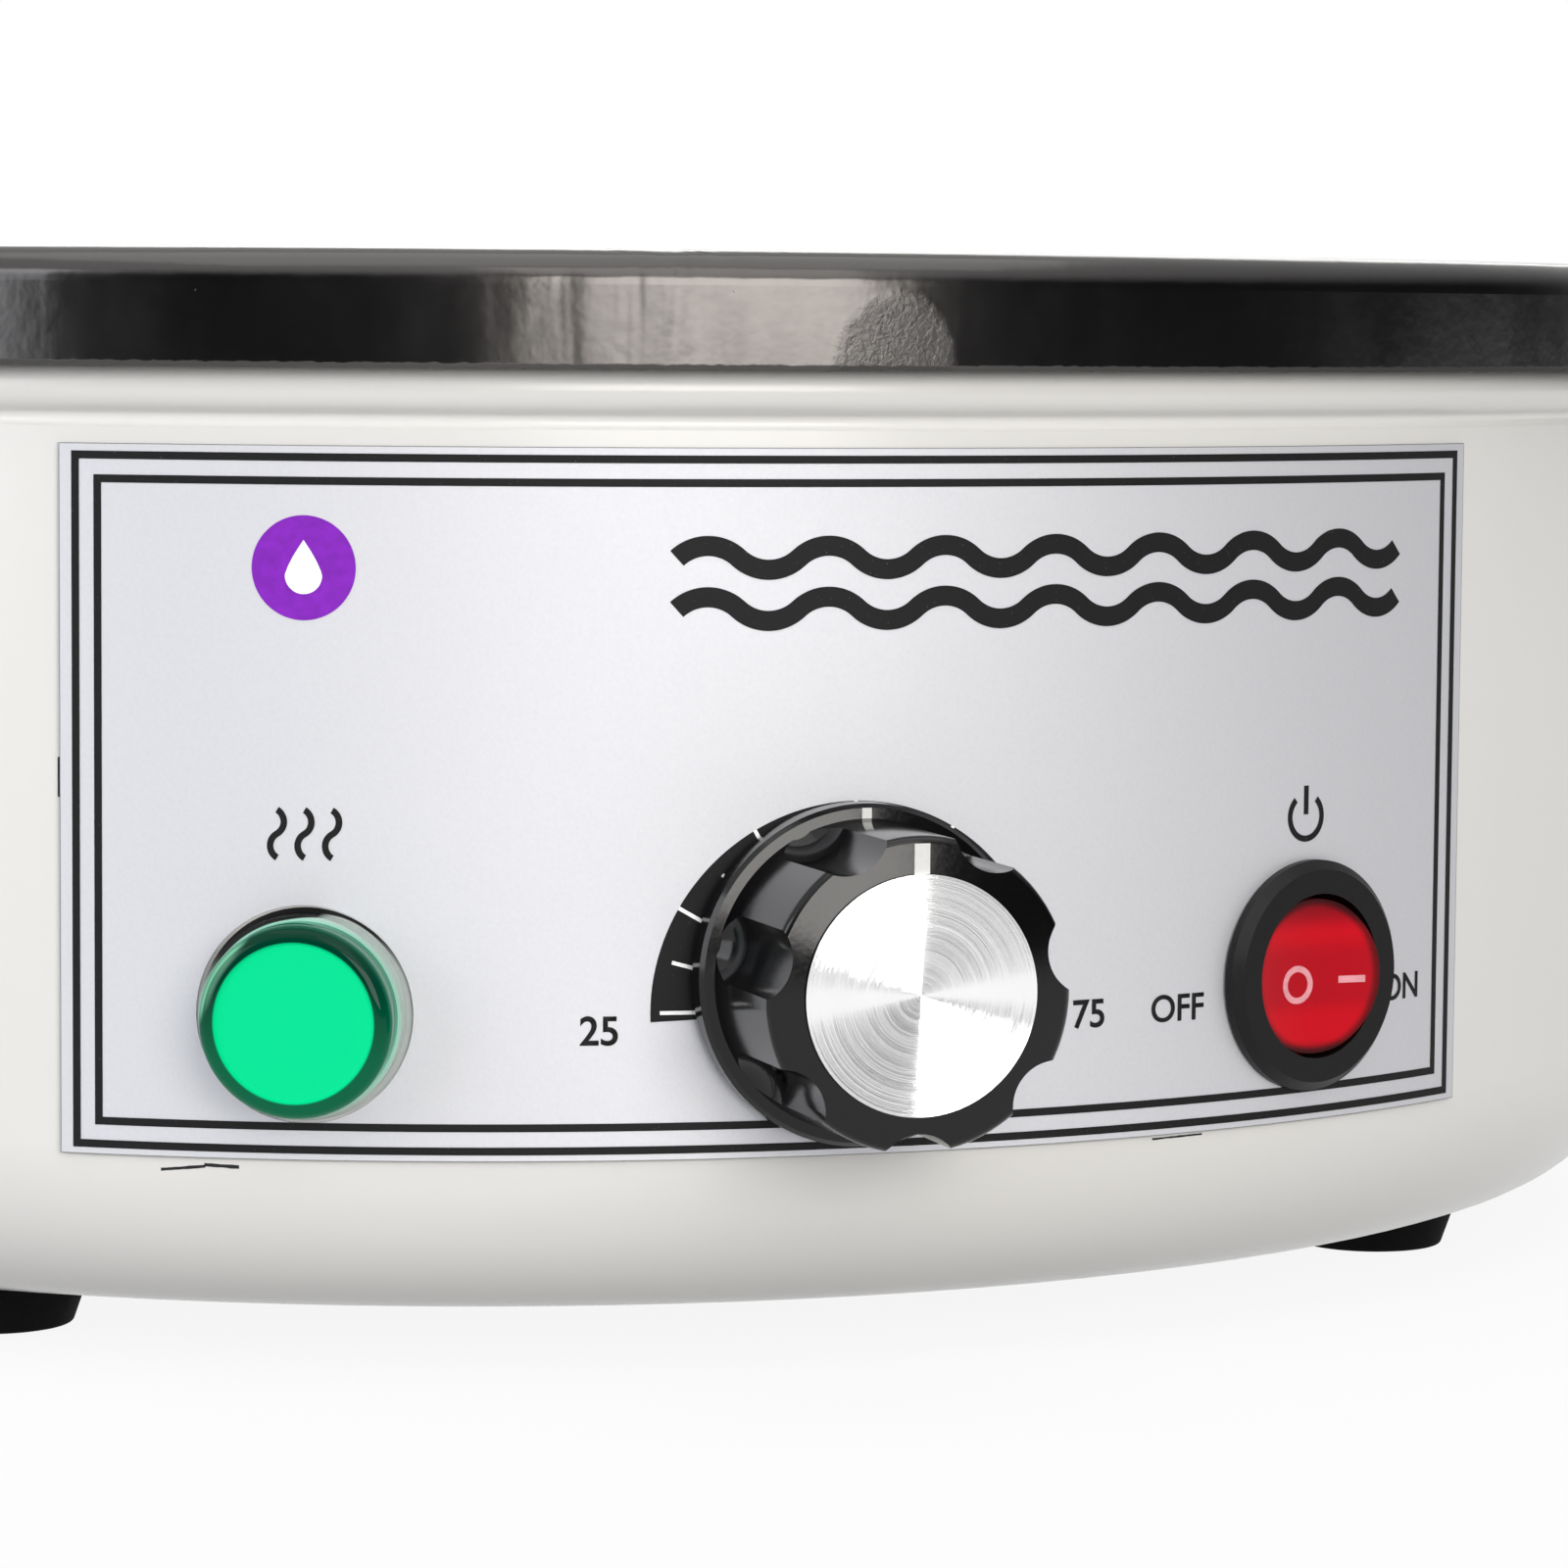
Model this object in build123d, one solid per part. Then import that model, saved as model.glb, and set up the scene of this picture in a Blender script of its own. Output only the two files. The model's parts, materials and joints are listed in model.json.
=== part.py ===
"""Tissue flotation bath: a heated round bowl seated in a round body, with its controls on the front.

The origin is on the body's axis at bench level, +Z is up and the knob faces -Y.
"""

import math
import os

from build123d import *

os.makedirs("parts", exist_ok=True)

# Shared values
overrun = 1.0
seat_gap = 0.05
run_gap = 0.05
screw_gap = 0.2
base_align = (Align.CENTER, Align.CENTER, Align.MIN)
quarter_turn = 90
half_turn = 180
full_turn = 360

# Body shell: a drawn steel wall with a bead under the rim and a rounded foot
wall_radius = 134.0
wall_gauge = 1.2
wall_height = 86.1
corner_across = 12.9
corner_up = 16.4
groove_depth = 0.4
groove_height = 1.4
bead_bulge = 1.5
bead_height = 4.6
neck_height = 6.8
shelf_round = 3.0
shelf_width = 15.0
flange_width = 22.0

# Bowl with its rim, turned down outside the body
bowl_gauge = 2.0
rim_width = 27.0
wall_draft = 4.0
skirt_clearance = 1.0
skirt_height = 11.1
rim_round = 3.3
lip_round = 4.0
bowl_corner_round = 12.0
gasket_gauge = 2.0
gasket_width = 10.0
gasket_inset = 3.0

# Feet, base plate and their fasteners
foot_height = 5.8
foot_top_radius = 10.0
foot_bottom_radius = 8.0
foot_edge_round = 0.5
foot_inset = 25.0
foot_turn = 48.0
foot_azimuths = {
    "front_left": foot_turn - quarter_turn,
    "front_right": foot_turn,
    "rear_right": foot_turn + quarter_turn,
    "rear_left": foot_turn + half_turn,
}
foot_recess_radius = 4.6
foot_recess_depth = 4.0
foot_screw_radius = 2.0
foot_screw_head_radius = 3.9
foot_screw_head_height = 2.4
foot_screw_tail = 1.0
foot_nut_flats = 7.0
foot_nut_height = 3.2
base_gauge = 1.2
base_edge_gap = 2.0
vent_count = 6
vent_length = 34.0
vent_width = 3.0
vent_pitch = 8.0
vent_offset = 30.0

# Heater stack under the bowl
heater_gauge = 2.5
heater_inset = 2.0
stack_inset = 17.0
stack_bore_radius = 34.0
clamp_gauge = 2.0
insulation_gauge = 8.0
support_gauge = 1.0
stud_radius = 2.5
stud_inset = 26.0
stud_count = 3
stud_tail = 7.0
stud_nut_flats = 8.0
stud_nut_height = 4.0
spacer_flats = 8.0
spacer_length = 24.6
tie_screw_reach = 10.0
tie_head_radius = 4.4
tie_head_height = 2.6
tab_width = 6.3
tab_gauge = 0.8
heater_tab_inset = 16.0
heater_tab_spread = 12.0
heater_tab_drop = 20.0
stack_window_gap = 1.2

# Over-temperature cut-out under the clamp plate
cutout_height = 9.8
cutout_ear_edge = 0.2
cutout_ear_width = 7.0
cutout_ear_gauge = 1.0
cutout_screw_radius = 1.25
cutout_screw_pitch = 21.0
cutout_head_radius = 2.1
cutout_head_gap = 0.4
cutout_head_height = 1.6
cutout_tab_spread = 8.0
cutout_tab_drop = 7.0

# Front label: a thin curved sheet on the wall
label_gauge = 0.5
label_width = 151.5
label_height = 67.1
label_rise = 16.0

# Knob, thermostat shaft and bushing
knob_rise = 33.5
knob_gap = 0.7
knob_reach = 20.0
skirt_radius = 16.3
skirt_gauge = 2.6
skirt_bevel = 0.4
collar_radius = 14.9
collar_height = 1.4
grip_radius = 14.7
grip_round = 0.7
flute_count = 7
grub_flute = 2.5
flute_radius = 4.17
flute_depth = 1.9
knob_recess_radius = 9.5
knob_recess_depth = 4.8
cap_radius = 11.2
cap_gauge = 0.8
cap_dish = 0.35
pointer_width = 1.5
pointer_gauge = 0.3
skirt_mark_width = 0.95
grub_radius = 1.5
grub_length = 4.5
grub_height = 8.0
grub_socket_radius = 0.7
grub_socket_depth = 1.2
shaft_radius = 3.0
shaft_flat = 1.5
shaft_reach = 15.5
shaft_root = 8.0
bushing_radius = 5.0
bushing_reach = 4.0
bushing_shoulder_radius = 7.0
bushing_hole_gap = 0.2
bushing_nut_flats = 14.0
bushing_nut_height = 2.8

# Thermostat behind the knob, its tube and bulb
thermostat_width = 34.0
thermostat_height = 32.0
thermostat_depth = 22.0
thermostat_round = 2.0
thermostat_tab_spread = 16.0
thermostat_tab_drop = 10.0
thermostat_tab_length = 9.0
tube_radius = 0.8
tube_exit_drop = 4.0
tube_level = 16.0
tube_standoff = 11.0
bulb_radius = 3.0
bulb_length = 40.0
bulb_tube_lead = 11.0
clip_gauge = 1.0
clip_width = 10.0
clip_foot = 6.0

# Pilot lamp
lamp_azimuth = -22.3
lamp_rise = 29.8
lamp_collar_radius = 9.6
lamp_collar_height = 3.0
lamp_window_gap = 0.7
lens_radius = 9.1
lens_reach = 7.5
lens_bevel = 1.6
lens_wall = 2.6
lens_face = 1.4
lamp_barrel_radius = 6.0
lamp_barrel_wall = 1.3
lamp_depth = 24.0
lamp_nut_radius = 9.5
lamp_nut_height = 4.0
lamp_bulb_radius = 2.4
lamp_bulb_length = 12.0
lamp_tab_spread = 6.0
lamp_tab_length = 7.0
lamp_tab_width = 2.8

# Rocker switch
switch_azimuth = 22.3
switch_rise = 30.6
bezel_radius = 11.5
bezel_height = 1.7
bezel_bevel = 0.9
barrel_radius = 10.0
barrel_hole_gap = 0.2
barrel_depth = 14.0
rocker_radius = 7.7
rocker_gap = 0.5
rocker_well = 8.6
rocker_tilt = 10.0
rocker_pivot_depth = 1.5
rocker_crest = 2.0
rocker_dish_radius = 26.0
rocker_edge_height = 5.0
rocker_root = 2.5
rocker_root_width = 11.0
trunnion_radius = 1.0
trunnion_length = 0.8
switch_tab_spread = 10.0
switch_tab_length = 8.0
switch_tab_width = 4.8

# Mains inlet and fuse drawer at the back
inlet_rise = 35.2
inlet_seat_side = 1.0
inlet_seat_margin = 0.8
inlet_ear = 10.0
inlet_flange_height = 32.0
inlet_flange_gauge = 2.5
inlet_flange_round = 3.0
inlet_body_width = 30.0
inlet_body_height = 30.0
inlet_body_depth = 24.0
inlet_hole_gap = 0.2
socket_width = 24.4
socket_height = 16.6
socket_corner = 4.5
socket_depth = 17.0
socket_rise = 4.6
pin_width = 2.0
pin_height = 4.0
pin_spread = 14.0
pin_stagger = 4.0
pin_recess = 3.0
pin_tail = 6.0
inlet_screw_radius = 1.5
inlet_screw_head_radius = 2.9
inlet_screw_length = 10.0
inlet_nut_flats = 5.5
inlet_nut_height = 2.4
drawer_width = 22.0
drawer_height = 8.0
drawer_face = 2.2
drawer_drop = 9.8
drawer_lip = 0.6
drawer_gap = 0.15
tray_width = 9.0
tray_height = 7.2
tray_length = 21.5
tray_wall = 0.9
fuse_radius = 2.6
fuse_glass_radius = 2.4
fuse_length = 20.0
fuse_cap_length = 5.0

# Terminal block, earth stud and leads
block_ways = 5
block_pitch = 7.0
block_length_y = 18.0
block_height = 13.0
block_inset = 25.0
block_entry_height = 6.0
block_entry_radius = 1.5
block_screw_radius = 1.8
block_screw_depth = 3.0
block_side = 2.0
earth_offset = 10.0
earth_stud_radius = 2.0
earth_stud_height = 12.0
earth_nut_flats = 7.0
earth_nut_height = 3.2
lug_radius = 4.0
lug_gauge = 0.8
lead_radius = 1.1
lead_entry = 3.0
lead_standoff = 12.0
link_standoff = 18.5
link_block_gap = 14.0
heater_layer = 9.8
bend_share = 0.45

# Heights worked out from the sizes above, all from the bench up
body_bottom = foot_height
flange_top = body_bottom + wall_gauge
base_top = flange_top + base_gauge
groove_low = body_bottom + wall_height - groove_height
bead_low = body_bottom + wall_height
neck_low = bead_low + bead_height
shelf_top = neck_low + neck_height
rim_top = shelf_top + gasket_gauge + bowl_gauge
stud_nut_low = base_top + spacer_length
support_low = stud_nut_low + stud_nut_height
insulation_low = support_low + support_gauge
clamp_low = insulation_low + insulation_gauge
heater_low = clamp_low + clamp_gauge
bowl_underside = heater_low + heater_gauge
bowl_floor = bowl_underside + bowl_gauge
entry_level = base_top + block_entry_height

# Radii and places worked out from the wall inwards
rim_radius = wall_radius + bead_bulge + skirt_clearance + bowl_gauge
mouth_radius = wall_radius - rim_width
floor_radius = mouth_radius - wall_draft
stack_radius = floor_radius - stack_inset
heater_radius = stack_radius - heater_inset
heater_tab_circle = stack_radius - heater_tab_inset
cutout_radius = cutout_screw_pitch / 2 - cutout_head_radius - cutout_head_gap
cutout_ear_length = cutout_screw_pitch + 2 * (cutout_head_radius + cutout_ear_edge)
stack_window_radius = cutout_ear_length / 2 + stack_window_gap
stud_circle_radius = stack_radius - stud_inset
block_centre_y = stud_circle_radius - block_inset
earth_y = stud_circle_radius + earth_offset
foot_circle_radius = wall_radius - foot_inset
base_radius = wall_radius - corner_across - base_edge_gap
shelf_inner_radius = wall_radius - shelf_width
flange_inner_radius = wall_radius - corner_across - flange_width
inner_radius = wall_radius - wall_gauge
inlet_flange_width = inlet_body_width + 2 * inlet_ear
inlet_screw_pitch = inlet_body_width + inlet_ear
inlet_seat_width = inlet_flange_width + 2 * inlet_seat_side
inlet_seat_depth = wall_radius - math.sqrt(wall_radius**2 - (inlet_seat_width / 2) ** 2)
inlet_face = inlet_flange_gauge - inlet_seat_depth


# Basic shapes


def disc(radius, low, high):
    """A round plate between two heights."""
    return Pos(0, 0, low) * Cylinder(radius, high - low, align=base_align)


def ring(outer, inner, low, high):
    """A flat ring between two heights."""
    return disc(outer, low, high) - disc(inner, low - overrun, high + overrun)


def slab(width, length, low, high):
    """A rectangular block between two heights, centred on the axis."""
    return Pos(0, 0, low) * Box(width, length, high - low, align=base_align)


def hexagon(flats, low, high):
    """A hexagonal prism between two heights."""
    outline = RegularPolygon(flats / 2, 6, major_radius=False)
    return Pos(0, 0, low) * extrude(outline, high - low)


def spun(lines):
    """Turn a closed outline of radius and height about the upright axis."""
    return revolve(Plane.XZ * make_face(lines), Axis.Z)


def on_wall(azimuth, rise):
    """The place on the wall, with local Z pointing straight out and local Y up."""
    return Rot(0, 0, azimuth) * Pos(0, -wall_radius, body_bottom + rise) * Rot(quarter_turn, 0, 0)


def wall_point(azimuth, rise, x, y, z):
    """A point given in a wall place's own directions, in the part's frame."""
    return (on_wall(azimuth, rise) * Pos(x, y, z)).position


def inside_seat(half_width):
    """How far inside the wall's outer face a flat piece of this half width meets the curved wall."""
    return wall_radius - math.sqrt(inner_radius**2 - half_width**2) + seat_gap


def around(radius, azimuth):
    """A place on a circle about the upright axis."""
    return Rot(0, 0, azimuth) * Pos(0, -radius, 0)


def bend_radii(points):
    """The arc at each corner of a route, as large as its shorter run and its turn leave room for."""
    corners = [Vector(*point) for point in points]
    runs = [end - start for start, end in zip(corners, corners[1:])]
    radii = []
    for before, after in zip(runs, runs[1:]):
        half = math.radians(before.get_angle(after) / 2)
        radii.append(bend_share * min(before.length, after.length) / math.tan(half))
    return radii


def lead(name, points, radius=lead_radius):
    """A round wire along straight runs joined by arcs."""
    radii = bend_radii(points)
    path = FilletPolyline(*points, radius=radii)
    print(f"{name}: length {path.length:.1f}, bend radii", [round(bend, 1) for bend in radii])
    start = Plane(origin=path @ 0, z_dir=path % 0)
    return sweep(start * Circle(radius), path=path)


def group(pieces):
    """Several separate solids in one node."""
    return Compound(children=[solid for piece in pieces for solid in piece.solids()])


# Body shell


def shell_solid(inset):
    """The body's full round form, drawn in from its outside by the inset."""
    radius = wall_radius - inset
    low = body_bottom + inset
    high = shelf_top - inset
    corner_centre = (wall_radius - corner_across, body_bottom + corner_up)
    corner = EllipticalCenterArc(
        corner_centre,
        corner_across - inset,
        corner_up - inset,
        start_angle=-quarter_turn,
        arc_size=quarter_turn,
    )
    corner_top = (radius, body_bottom + corner_up)
    groove_start = (radius, groove_low)
    groove_deep = (radius - groove_depth, groove_low + groove_height / 2)
    bead_start = (radius, bead_low)
    bead_crest = (radius + bead_bulge, bead_low + bead_height / 2)
    neck_start = (radius, neck_low)
    neck_end = (radius, shelf_top - shelf_round)
    shelf_start = (wall_radius - shelf_round, high)
    lines = [
        Line((0, low), (corner_centre[0], low)),
        corner,
        Line(corner_top, groove_start),
        ThreePointArc(groove_start, groove_deep, bead_start),
        ThreePointArc(bead_start, bead_crest, neck_start),
        Line(neck_start, neck_end),
        RadiusArc(neck_end, shelf_start, inset - shelf_round),
        Line(shelf_start, (0, high)),
        Line((0, high), (0, low)),
    ]
    return spun(lines)


def inlet_seat():
    """The flat seat pressed into the wall for the mains inlet: the block to add and the pocket to cut."""
    half_height = inlet_flange_height / 2 + inlet_seat_margin
    block_half_height = half_height + wall_gauge
    block_half_width = inlet_seat_width / 2 + wall_gauge
    low = -inlet_seat_depth - wall_gauge
    place = on_wall(half_turn, inlet_rise)
    block = place * slab(2 * block_half_width, 2 * block_half_height, low, overrun)
    pocket = place * slab(inlet_seat_width + wall_radius, 2 * half_height, -inlet_seat_depth, wall_radius)
    return block, pocket


def control_holes(through_low, through_high, lamp_hole, knob_hole, switch_hole):
    """The three round holes of the front controls."""
    lamp = on_wall(lamp_azimuth, lamp_rise) * disc(lamp_hole, through_low, through_high)
    knob = on_wall(0, knob_rise) * disc(knob_hole, through_low, through_high)
    switch = on_wall(switch_azimuth, switch_rise) * disc(switch_hole, through_low, through_high)
    return lamp + knob + switch


def body_shell():
    outside = shell_solid(0)
    shell = outside - shell_solid(wall_gauge)
    shell -= disc(shelf_inner_radius, shelf_top - shelf_round, shelf_top + overrun)
    shell -= disc(flange_inner_radius, body_bottom - overrun, flange_top + overrun)
    block, pocket = inlet_seat()
    shell += block & outside
    shell -= pocket
    inlet_hole = slab(
        inlet_body_width + 2 * inlet_hole_gap,
        inlet_body_height + 2 * inlet_hole_gap,
        -inlet_body_depth,
        overrun,
    )
    shell -= on_wall(half_turn, inlet_rise) * inlet_hole
    for side in (-1, 1):
        screw_hole = Pos(side * inlet_screw_pitch / 2, 0, 0) * disc(
            inlet_screw_radius + screw_gap, -inlet_screw_length, overrun
        )
        shell -= on_wall(half_turn, inlet_rise) * screw_hole
    shell -= control_holes(
        -barrel_depth,
        overrun,
        lamp_barrel_radius + barrel_hole_gap,
        bushing_radius + bushing_hole_gap,
        barrel_radius + barrel_hole_gap,
    )
    for azimuth in foot_azimuths.values():
        shell -= around(foot_circle_radius, azimuth) * disc(
            foot_screw_radius + screw_gap, body_bottom - overrun, flange_top + overrun
        )
    return shell


# Bowl and gasket


def bowl():
    outer = FilletPolyline(
        (rim_radius, rim_top - skirt_height),
        (rim_radius, rim_top),
        (mouth_radius, rim_top),
        (floor_radius, bowl_floor),
        (0, bowl_floor),
        radius=[rim_round, lip_round, bowl_corner_round],
    )
    under = FilletPolyline(
        (rim_radius - bowl_gauge, rim_top - skirt_height),
        (rim_radius - bowl_gauge, rim_top - bowl_gauge),
        (mouth_radius + bowl_gauge, rim_top - bowl_gauge),
        (floor_radius + bowl_gauge, bowl_underside),
        (0, bowl_underside),
        radius=[rim_round - bowl_gauge, lip_round - bowl_gauge, bowl_corner_round + bowl_gauge],
    )
    skirt_edge = Line(
        (rim_radius, rim_top - skirt_height), (rim_radius - bowl_gauge, rim_top - skirt_height)
    )
    middle = Line((0, bowl_floor), (0, bowl_underside))
    return spun([outer, middle, under, skirt_edge])


def bowl_gasket():
    outer = wall_radius - gasket_inset
    return ring(outer, outer - gasket_width, shelf_top, shelf_top + gasket_gauge)


# Feet, base plate and their fasteners


def foot(azimuth):
    pad = Cone(foot_bottom_radius, foot_top_radius, foot_height, align=base_align)
    pad = fillet(pad.edges().sort_by(Axis.Z)[0], foot_edge_round)
    pad -= disc(foot_recess_radius, -overrun, foot_recess_depth)
    pad -= disc(foot_screw_radius + screw_gap, 0, foot_height + overrun)
    return around(foot_circle_radius, azimuth) * pad


def foot_screw():
    head_low = foot_recess_depth - foot_screw_head_height
    head = disc(foot_screw_head_radius, head_low, foot_recess_depth)
    shank = disc(foot_screw_radius, foot_recess_depth, base_top + foot_nut_height + foot_screw_tail)
    return head + shank


def foot_nut():
    nut = hexagon(foot_nut_flats, base_top, base_top + foot_nut_height)
    return nut - disc(foot_screw_radius, base_top - overrun, base_top + foot_nut_height + overrun)


def base_plate():
    plate = disc(base_radius, flange_top, base_top)
    for azimuth in foot_azimuths.values():
        screw_hole = disc(foot_screw_radius + screw_gap, 0, base_top + overrun)
        plate -= around(foot_circle_radius, azimuth) * screw_hole
    for index in range(stud_count):
        plate -= stud_place(index) * disc(stud_radius + screw_gap, 0, base_top + overrun)
    slot = extrude(SlotOverall(vent_length, vent_width, rotation=quarter_turn), base_top + overrun)
    for side in (-1, 1):
        for index in range(vent_count):
            plate -= Pos(side * (vent_offset + index * vent_pitch), 0, 0) * slot
    return plate


# Heater stack under the bowl


def stud_place(index):
    """The place of one of the tie studs, the first at the back."""
    return around(stud_circle_radius, half_turn + index * full_turn / stud_count)


def stack_plate(radius, low, high, windows):
    """One ring-shaped layer of the stack, with its stud holes and its two terminal windows."""
    plate = ring(radius, stack_bore_radius, low, high)
    for index in range(stud_count):
        plate -= stud_place(index) * disc(stud_radius + screw_gap, low - overrun, high + overrun)
    if windows:
        for side in (-1, 1):
            plate -= Pos(side * heater_tab_circle, 0, 0) * disc(
                stack_window_radius, low - overrun, high + overrun
            )
    return plate


def clamp_plate():
    plate = stack_plate(stack_radius, clamp_low, heater_low, False)
    for place in heater_tab_places():
        plate -= place * slab(
            tab_gauge + 2 * screw_gap, tab_width + 2 * screw_gap, clamp_low - overrun, heater_low + overrun
        )
    for side in (-1, 1):
        plate -= cutout_place() * Pos(0, side * cutout_screw_pitch / 2, 0) * disc(
            cutout_screw_radius, clamp_low - overrun, heater_low + overrun
        )
    return plate


def heater_tab_places():
    """The two places where the heater's tabs hang down through the stack."""
    return [Pos(-heater_tab_circle, side * heater_tab_spread / 2, 0) for side in (-1, 1)]


def heater_tabs():
    tab = slab(tab_gauge, tab_width, heater_low - heater_tab_drop, heater_low)
    return group([place * tab for place in heater_tab_places()])


def bowl_studs():
    stud = disc(stud_radius, stud_nut_low - stud_tail, bowl_underside)
    return group([stud_place(index) * stud for index in range(stud_count)])


def stud_nuts():
    nut = hexagon(stud_nut_flats, stud_nut_low, support_low)
    nut -= disc(stud_radius, stud_nut_low - overrun, support_low + overrun)
    return group([stud_place(index) * nut for index in range(stud_count)])


def tie_spacers():
    spacer = hexagon(spacer_flats, base_top, stud_nut_low)
    spacer -= disc(stud_radius + seat_gap, stud_nut_low - stud_tail - overrun, stud_nut_low + overrun)
    spacer -= disc(stud_radius, base_top - overrun, base_top + tie_screw_reach)
    return group([stud_place(index) * spacer for index in range(stud_count)])


def tie_screws():
    head = disc(tie_head_radius, flange_top - tie_head_height, flange_top)
    screw = head + disc(stud_radius, flange_top, base_top + tie_screw_reach - seat_gap)
    return group([stud_place(index) * screw for index in range(stud_count)])


# Over-temperature cut-out


def cutout_place():
    return Pos(heater_tab_circle, 0, 0)


def cutout_body():
    body = disc(cutout_radius, clamp_low - cutout_height, clamp_low)
    ears = SlotOverall(cutout_ear_length, cutout_ear_width, rotation=quarter_turn)
    body += Pos(0, 0, clamp_low - cutout_ear_gauge) * extrude(ears, cutout_ear_gauge)
    for side in (-1, 1):
        body -= Pos(0, side * cutout_screw_pitch / 2, 0) * disc(
            cutout_screw_radius, clamp_low - cutout_height, clamp_low + overrun
        )
    return cutout_place() * body


def cutout_screws():
    under = clamp_low - cutout_ear_gauge
    screw = disc(cutout_head_radius, under - cutout_head_height, under) + disc(
        cutout_screw_radius, under, heater_low
    )
    places = [Pos(0, side * cutout_screw_pitch / 2, 0) for side in (-1, 1)]
    return group([cutout_place() * place * screw for place in places])


def cutout_tabs():
    high = clamp_low - cutout_height
    tab = slab(tab_gauge, tab_width, high - cutout_tab_drop, high)
    places = [Pos(side * cutout_tab_spread / 2, 0, 0) for side in (-1, 1)]
    return group([cutout_place() * place * tab for place in places])


# Front label


def front_label():
    half_angle = math.degrees(label_width / wall_radius / 2)
    outer = wall_radius + label_gauge
    low = body_bottom + label_rise
    sheet = ring(outer, wall_radius + seat_gap, low, low + label_height)
    reach = outer / math.cos(math.radians(half_angle)) + overrun
    corners = [(0, 0)]
    for side in (-1, 1):
        angle = math.radians(side * half_angle)
        corners.append((reach * math.sin(angle), -reach * math.cos(angle)))
    wedge = extrude(make_face(Polyline(*corners, close=True)), rim_top)
    sheet = sheet & wedge
    return sheet - control_holes(
        -overrun,
        lens_reach,
        lamp_collar_radius + lamp_window_gap,
        bushing_radius + bushing_hole_gap,
        barrel_radius + barrel_hole_gap,
    )


# Knob


knob_low = label_gauge + knob_gap
skirt_high = knob_low + skirt_gauge
collar_high = skirt_high + collar_height
grip_high = knob_reach - cap_gauge / 2
flute_pitch_radius = grip_radius - flute_depth + flute_radius
grub_angle = quarter_turn + full_turn / flute_count * grub_flute


def pointer_marks():
    """The white marks let into the grip's front and into the skirt."""
    grip_length = grip_radius - grip_round - cap_radius
    grip_mark = slab(pointer_width, grip_length, grip_high - pointer_gauge, grip_high)
    grip_mark = Pos(0, cap_radius + grip_length / 2, 0) * grip_mark
    mark_length = skirt_radius - skirt_bevel - collar_radius
    skirt_mark = slab(skirt_mark_width, mark_length, skirt_high - pointer_gauge, skirt_high)
    skirt_mark = Pos(0, collar_radius + mark_length / 2, 0) * skirt_mark
    return grip_mark, skirt_mark


def grub_place():
    """The grub screw's line, in the plane across the knob's axis."""
    return Rot(0, 0, grub_angle) * Pos(0, 0, grub_height) * Rot(0, quarter_turn, 0)


def knob_grip():
    skirt = disc(skirt_radius, knob_low, skirt_high)
    skirt = chamfer(skirt.edges().sort_by(Axis.Z)[-1], skirt_bevel)
    collar = Pos(0, 0, skirt_high) * Cone(collar_radius, grip_radius, collar_height, align=base_align)
    grip = disc(grip_radius, collar_high, grip_high)
    grip = fillet(grip.edges().sort_by(Axis.Z)[-1], grip_round)
    knob = skirt + collar + grip
    scoop = disc(flute_radius, collar_high + flute_radius / 2, knob_reach + overrun)
    scoop += Pos(0, 0, collar_high + flute_radius / 2) * Sphere(flute_radius)
    scoop &= disc(rim_radius, skirt_high, knob_reach + overrun)
    for index in range(flute_count):
        turn = quarter_turn + full_turn / flute_count * (index + 1 / 2)
        knob -= Rot(0, 0, turn) * Pos(flute_pitch_radius, 0, 0) * scoop
    knob -= disc(knob_recess_radius, knob_low - overrun, knob_low + knob_recess_depth)
    knob -= shaft_blank(shaft_radius, knob_low, shaft_reach + seat_gap)
    knob -= disc(cap_radius + seat_gap, knob_reach - cap_gauge, knob_reach + overrun)
    knob -= grub_place() * disc(grub_radius, 0, skirt_radius)
    for mark in pointer_marks():
        knob -= mark
    return on_wall(0, knob_rise) * knob


def shaft_blank(radius, low, high):
    """A round shaft with a flat on the side where the grub screw bears."""
    flat = slab(2 * radius, 3 * radius, low - overrun, high + overrun)
    flat = Pos(2 * radius - shaft_flat, 0, 0) * flat
    return disc(radius, low, high) - Rot(0, 0, grub_angle) * flat


def thermostat_shaft():
    round_end = knob_low + knob_recess_depth
    shaft = disc(shaft_radius, -shaft_root, round_end)
    shaft += shaft_blank(shaft_radius, round_end, shaft_reach)
    return on_wall(0, knob_rise) * shaft


def knob_cap():
    cap = disc(cap_radius, knob_reach - cap_gauge, knob_reach)
    dish = Pos(0, 0, knob_reach) * Cone(overrun / 2, cap_radius - cap_gauge, cap_dish, align=base_align)
    return on_wall(0, knob_rise) * (cap - Pos(0, 0, -cap_dish) * dish)


def knob_pointer():
    return group([on_wall(0, knob_rise) * mark for mark in pointer_marks()])


def knob_grub_screw():
    start = shaft_radius - shaft_flat
    screw = disc(grub_radius, start, start + grub_length)
    screw -= hexagon(2 * grub_socket_radius, start + grub_length - grub_socket_depth, skirt_radius)
    return on_wall(0, knob_rise) * grub_place() * screw


# Thermostat, its tube and bulb


def thermostat_front():
    """How far inside the wall's outer face the thermostat's front lies."""
    return inside_seat(thermostat_width / 2)


def thermostat_body():
    front = -thermostat_front()
    body = slab(thermostat_width, thermostat_height, front - thermostat_depth, front)
    body = fillet(body.edges().filter_by(Axis.Z), thermostat_round)
    body -= disc(shaft_radius + run_gap, -shaft_root - seat_gap, front + overrun)
    return on_wall(0, knob_rise) * body


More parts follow.
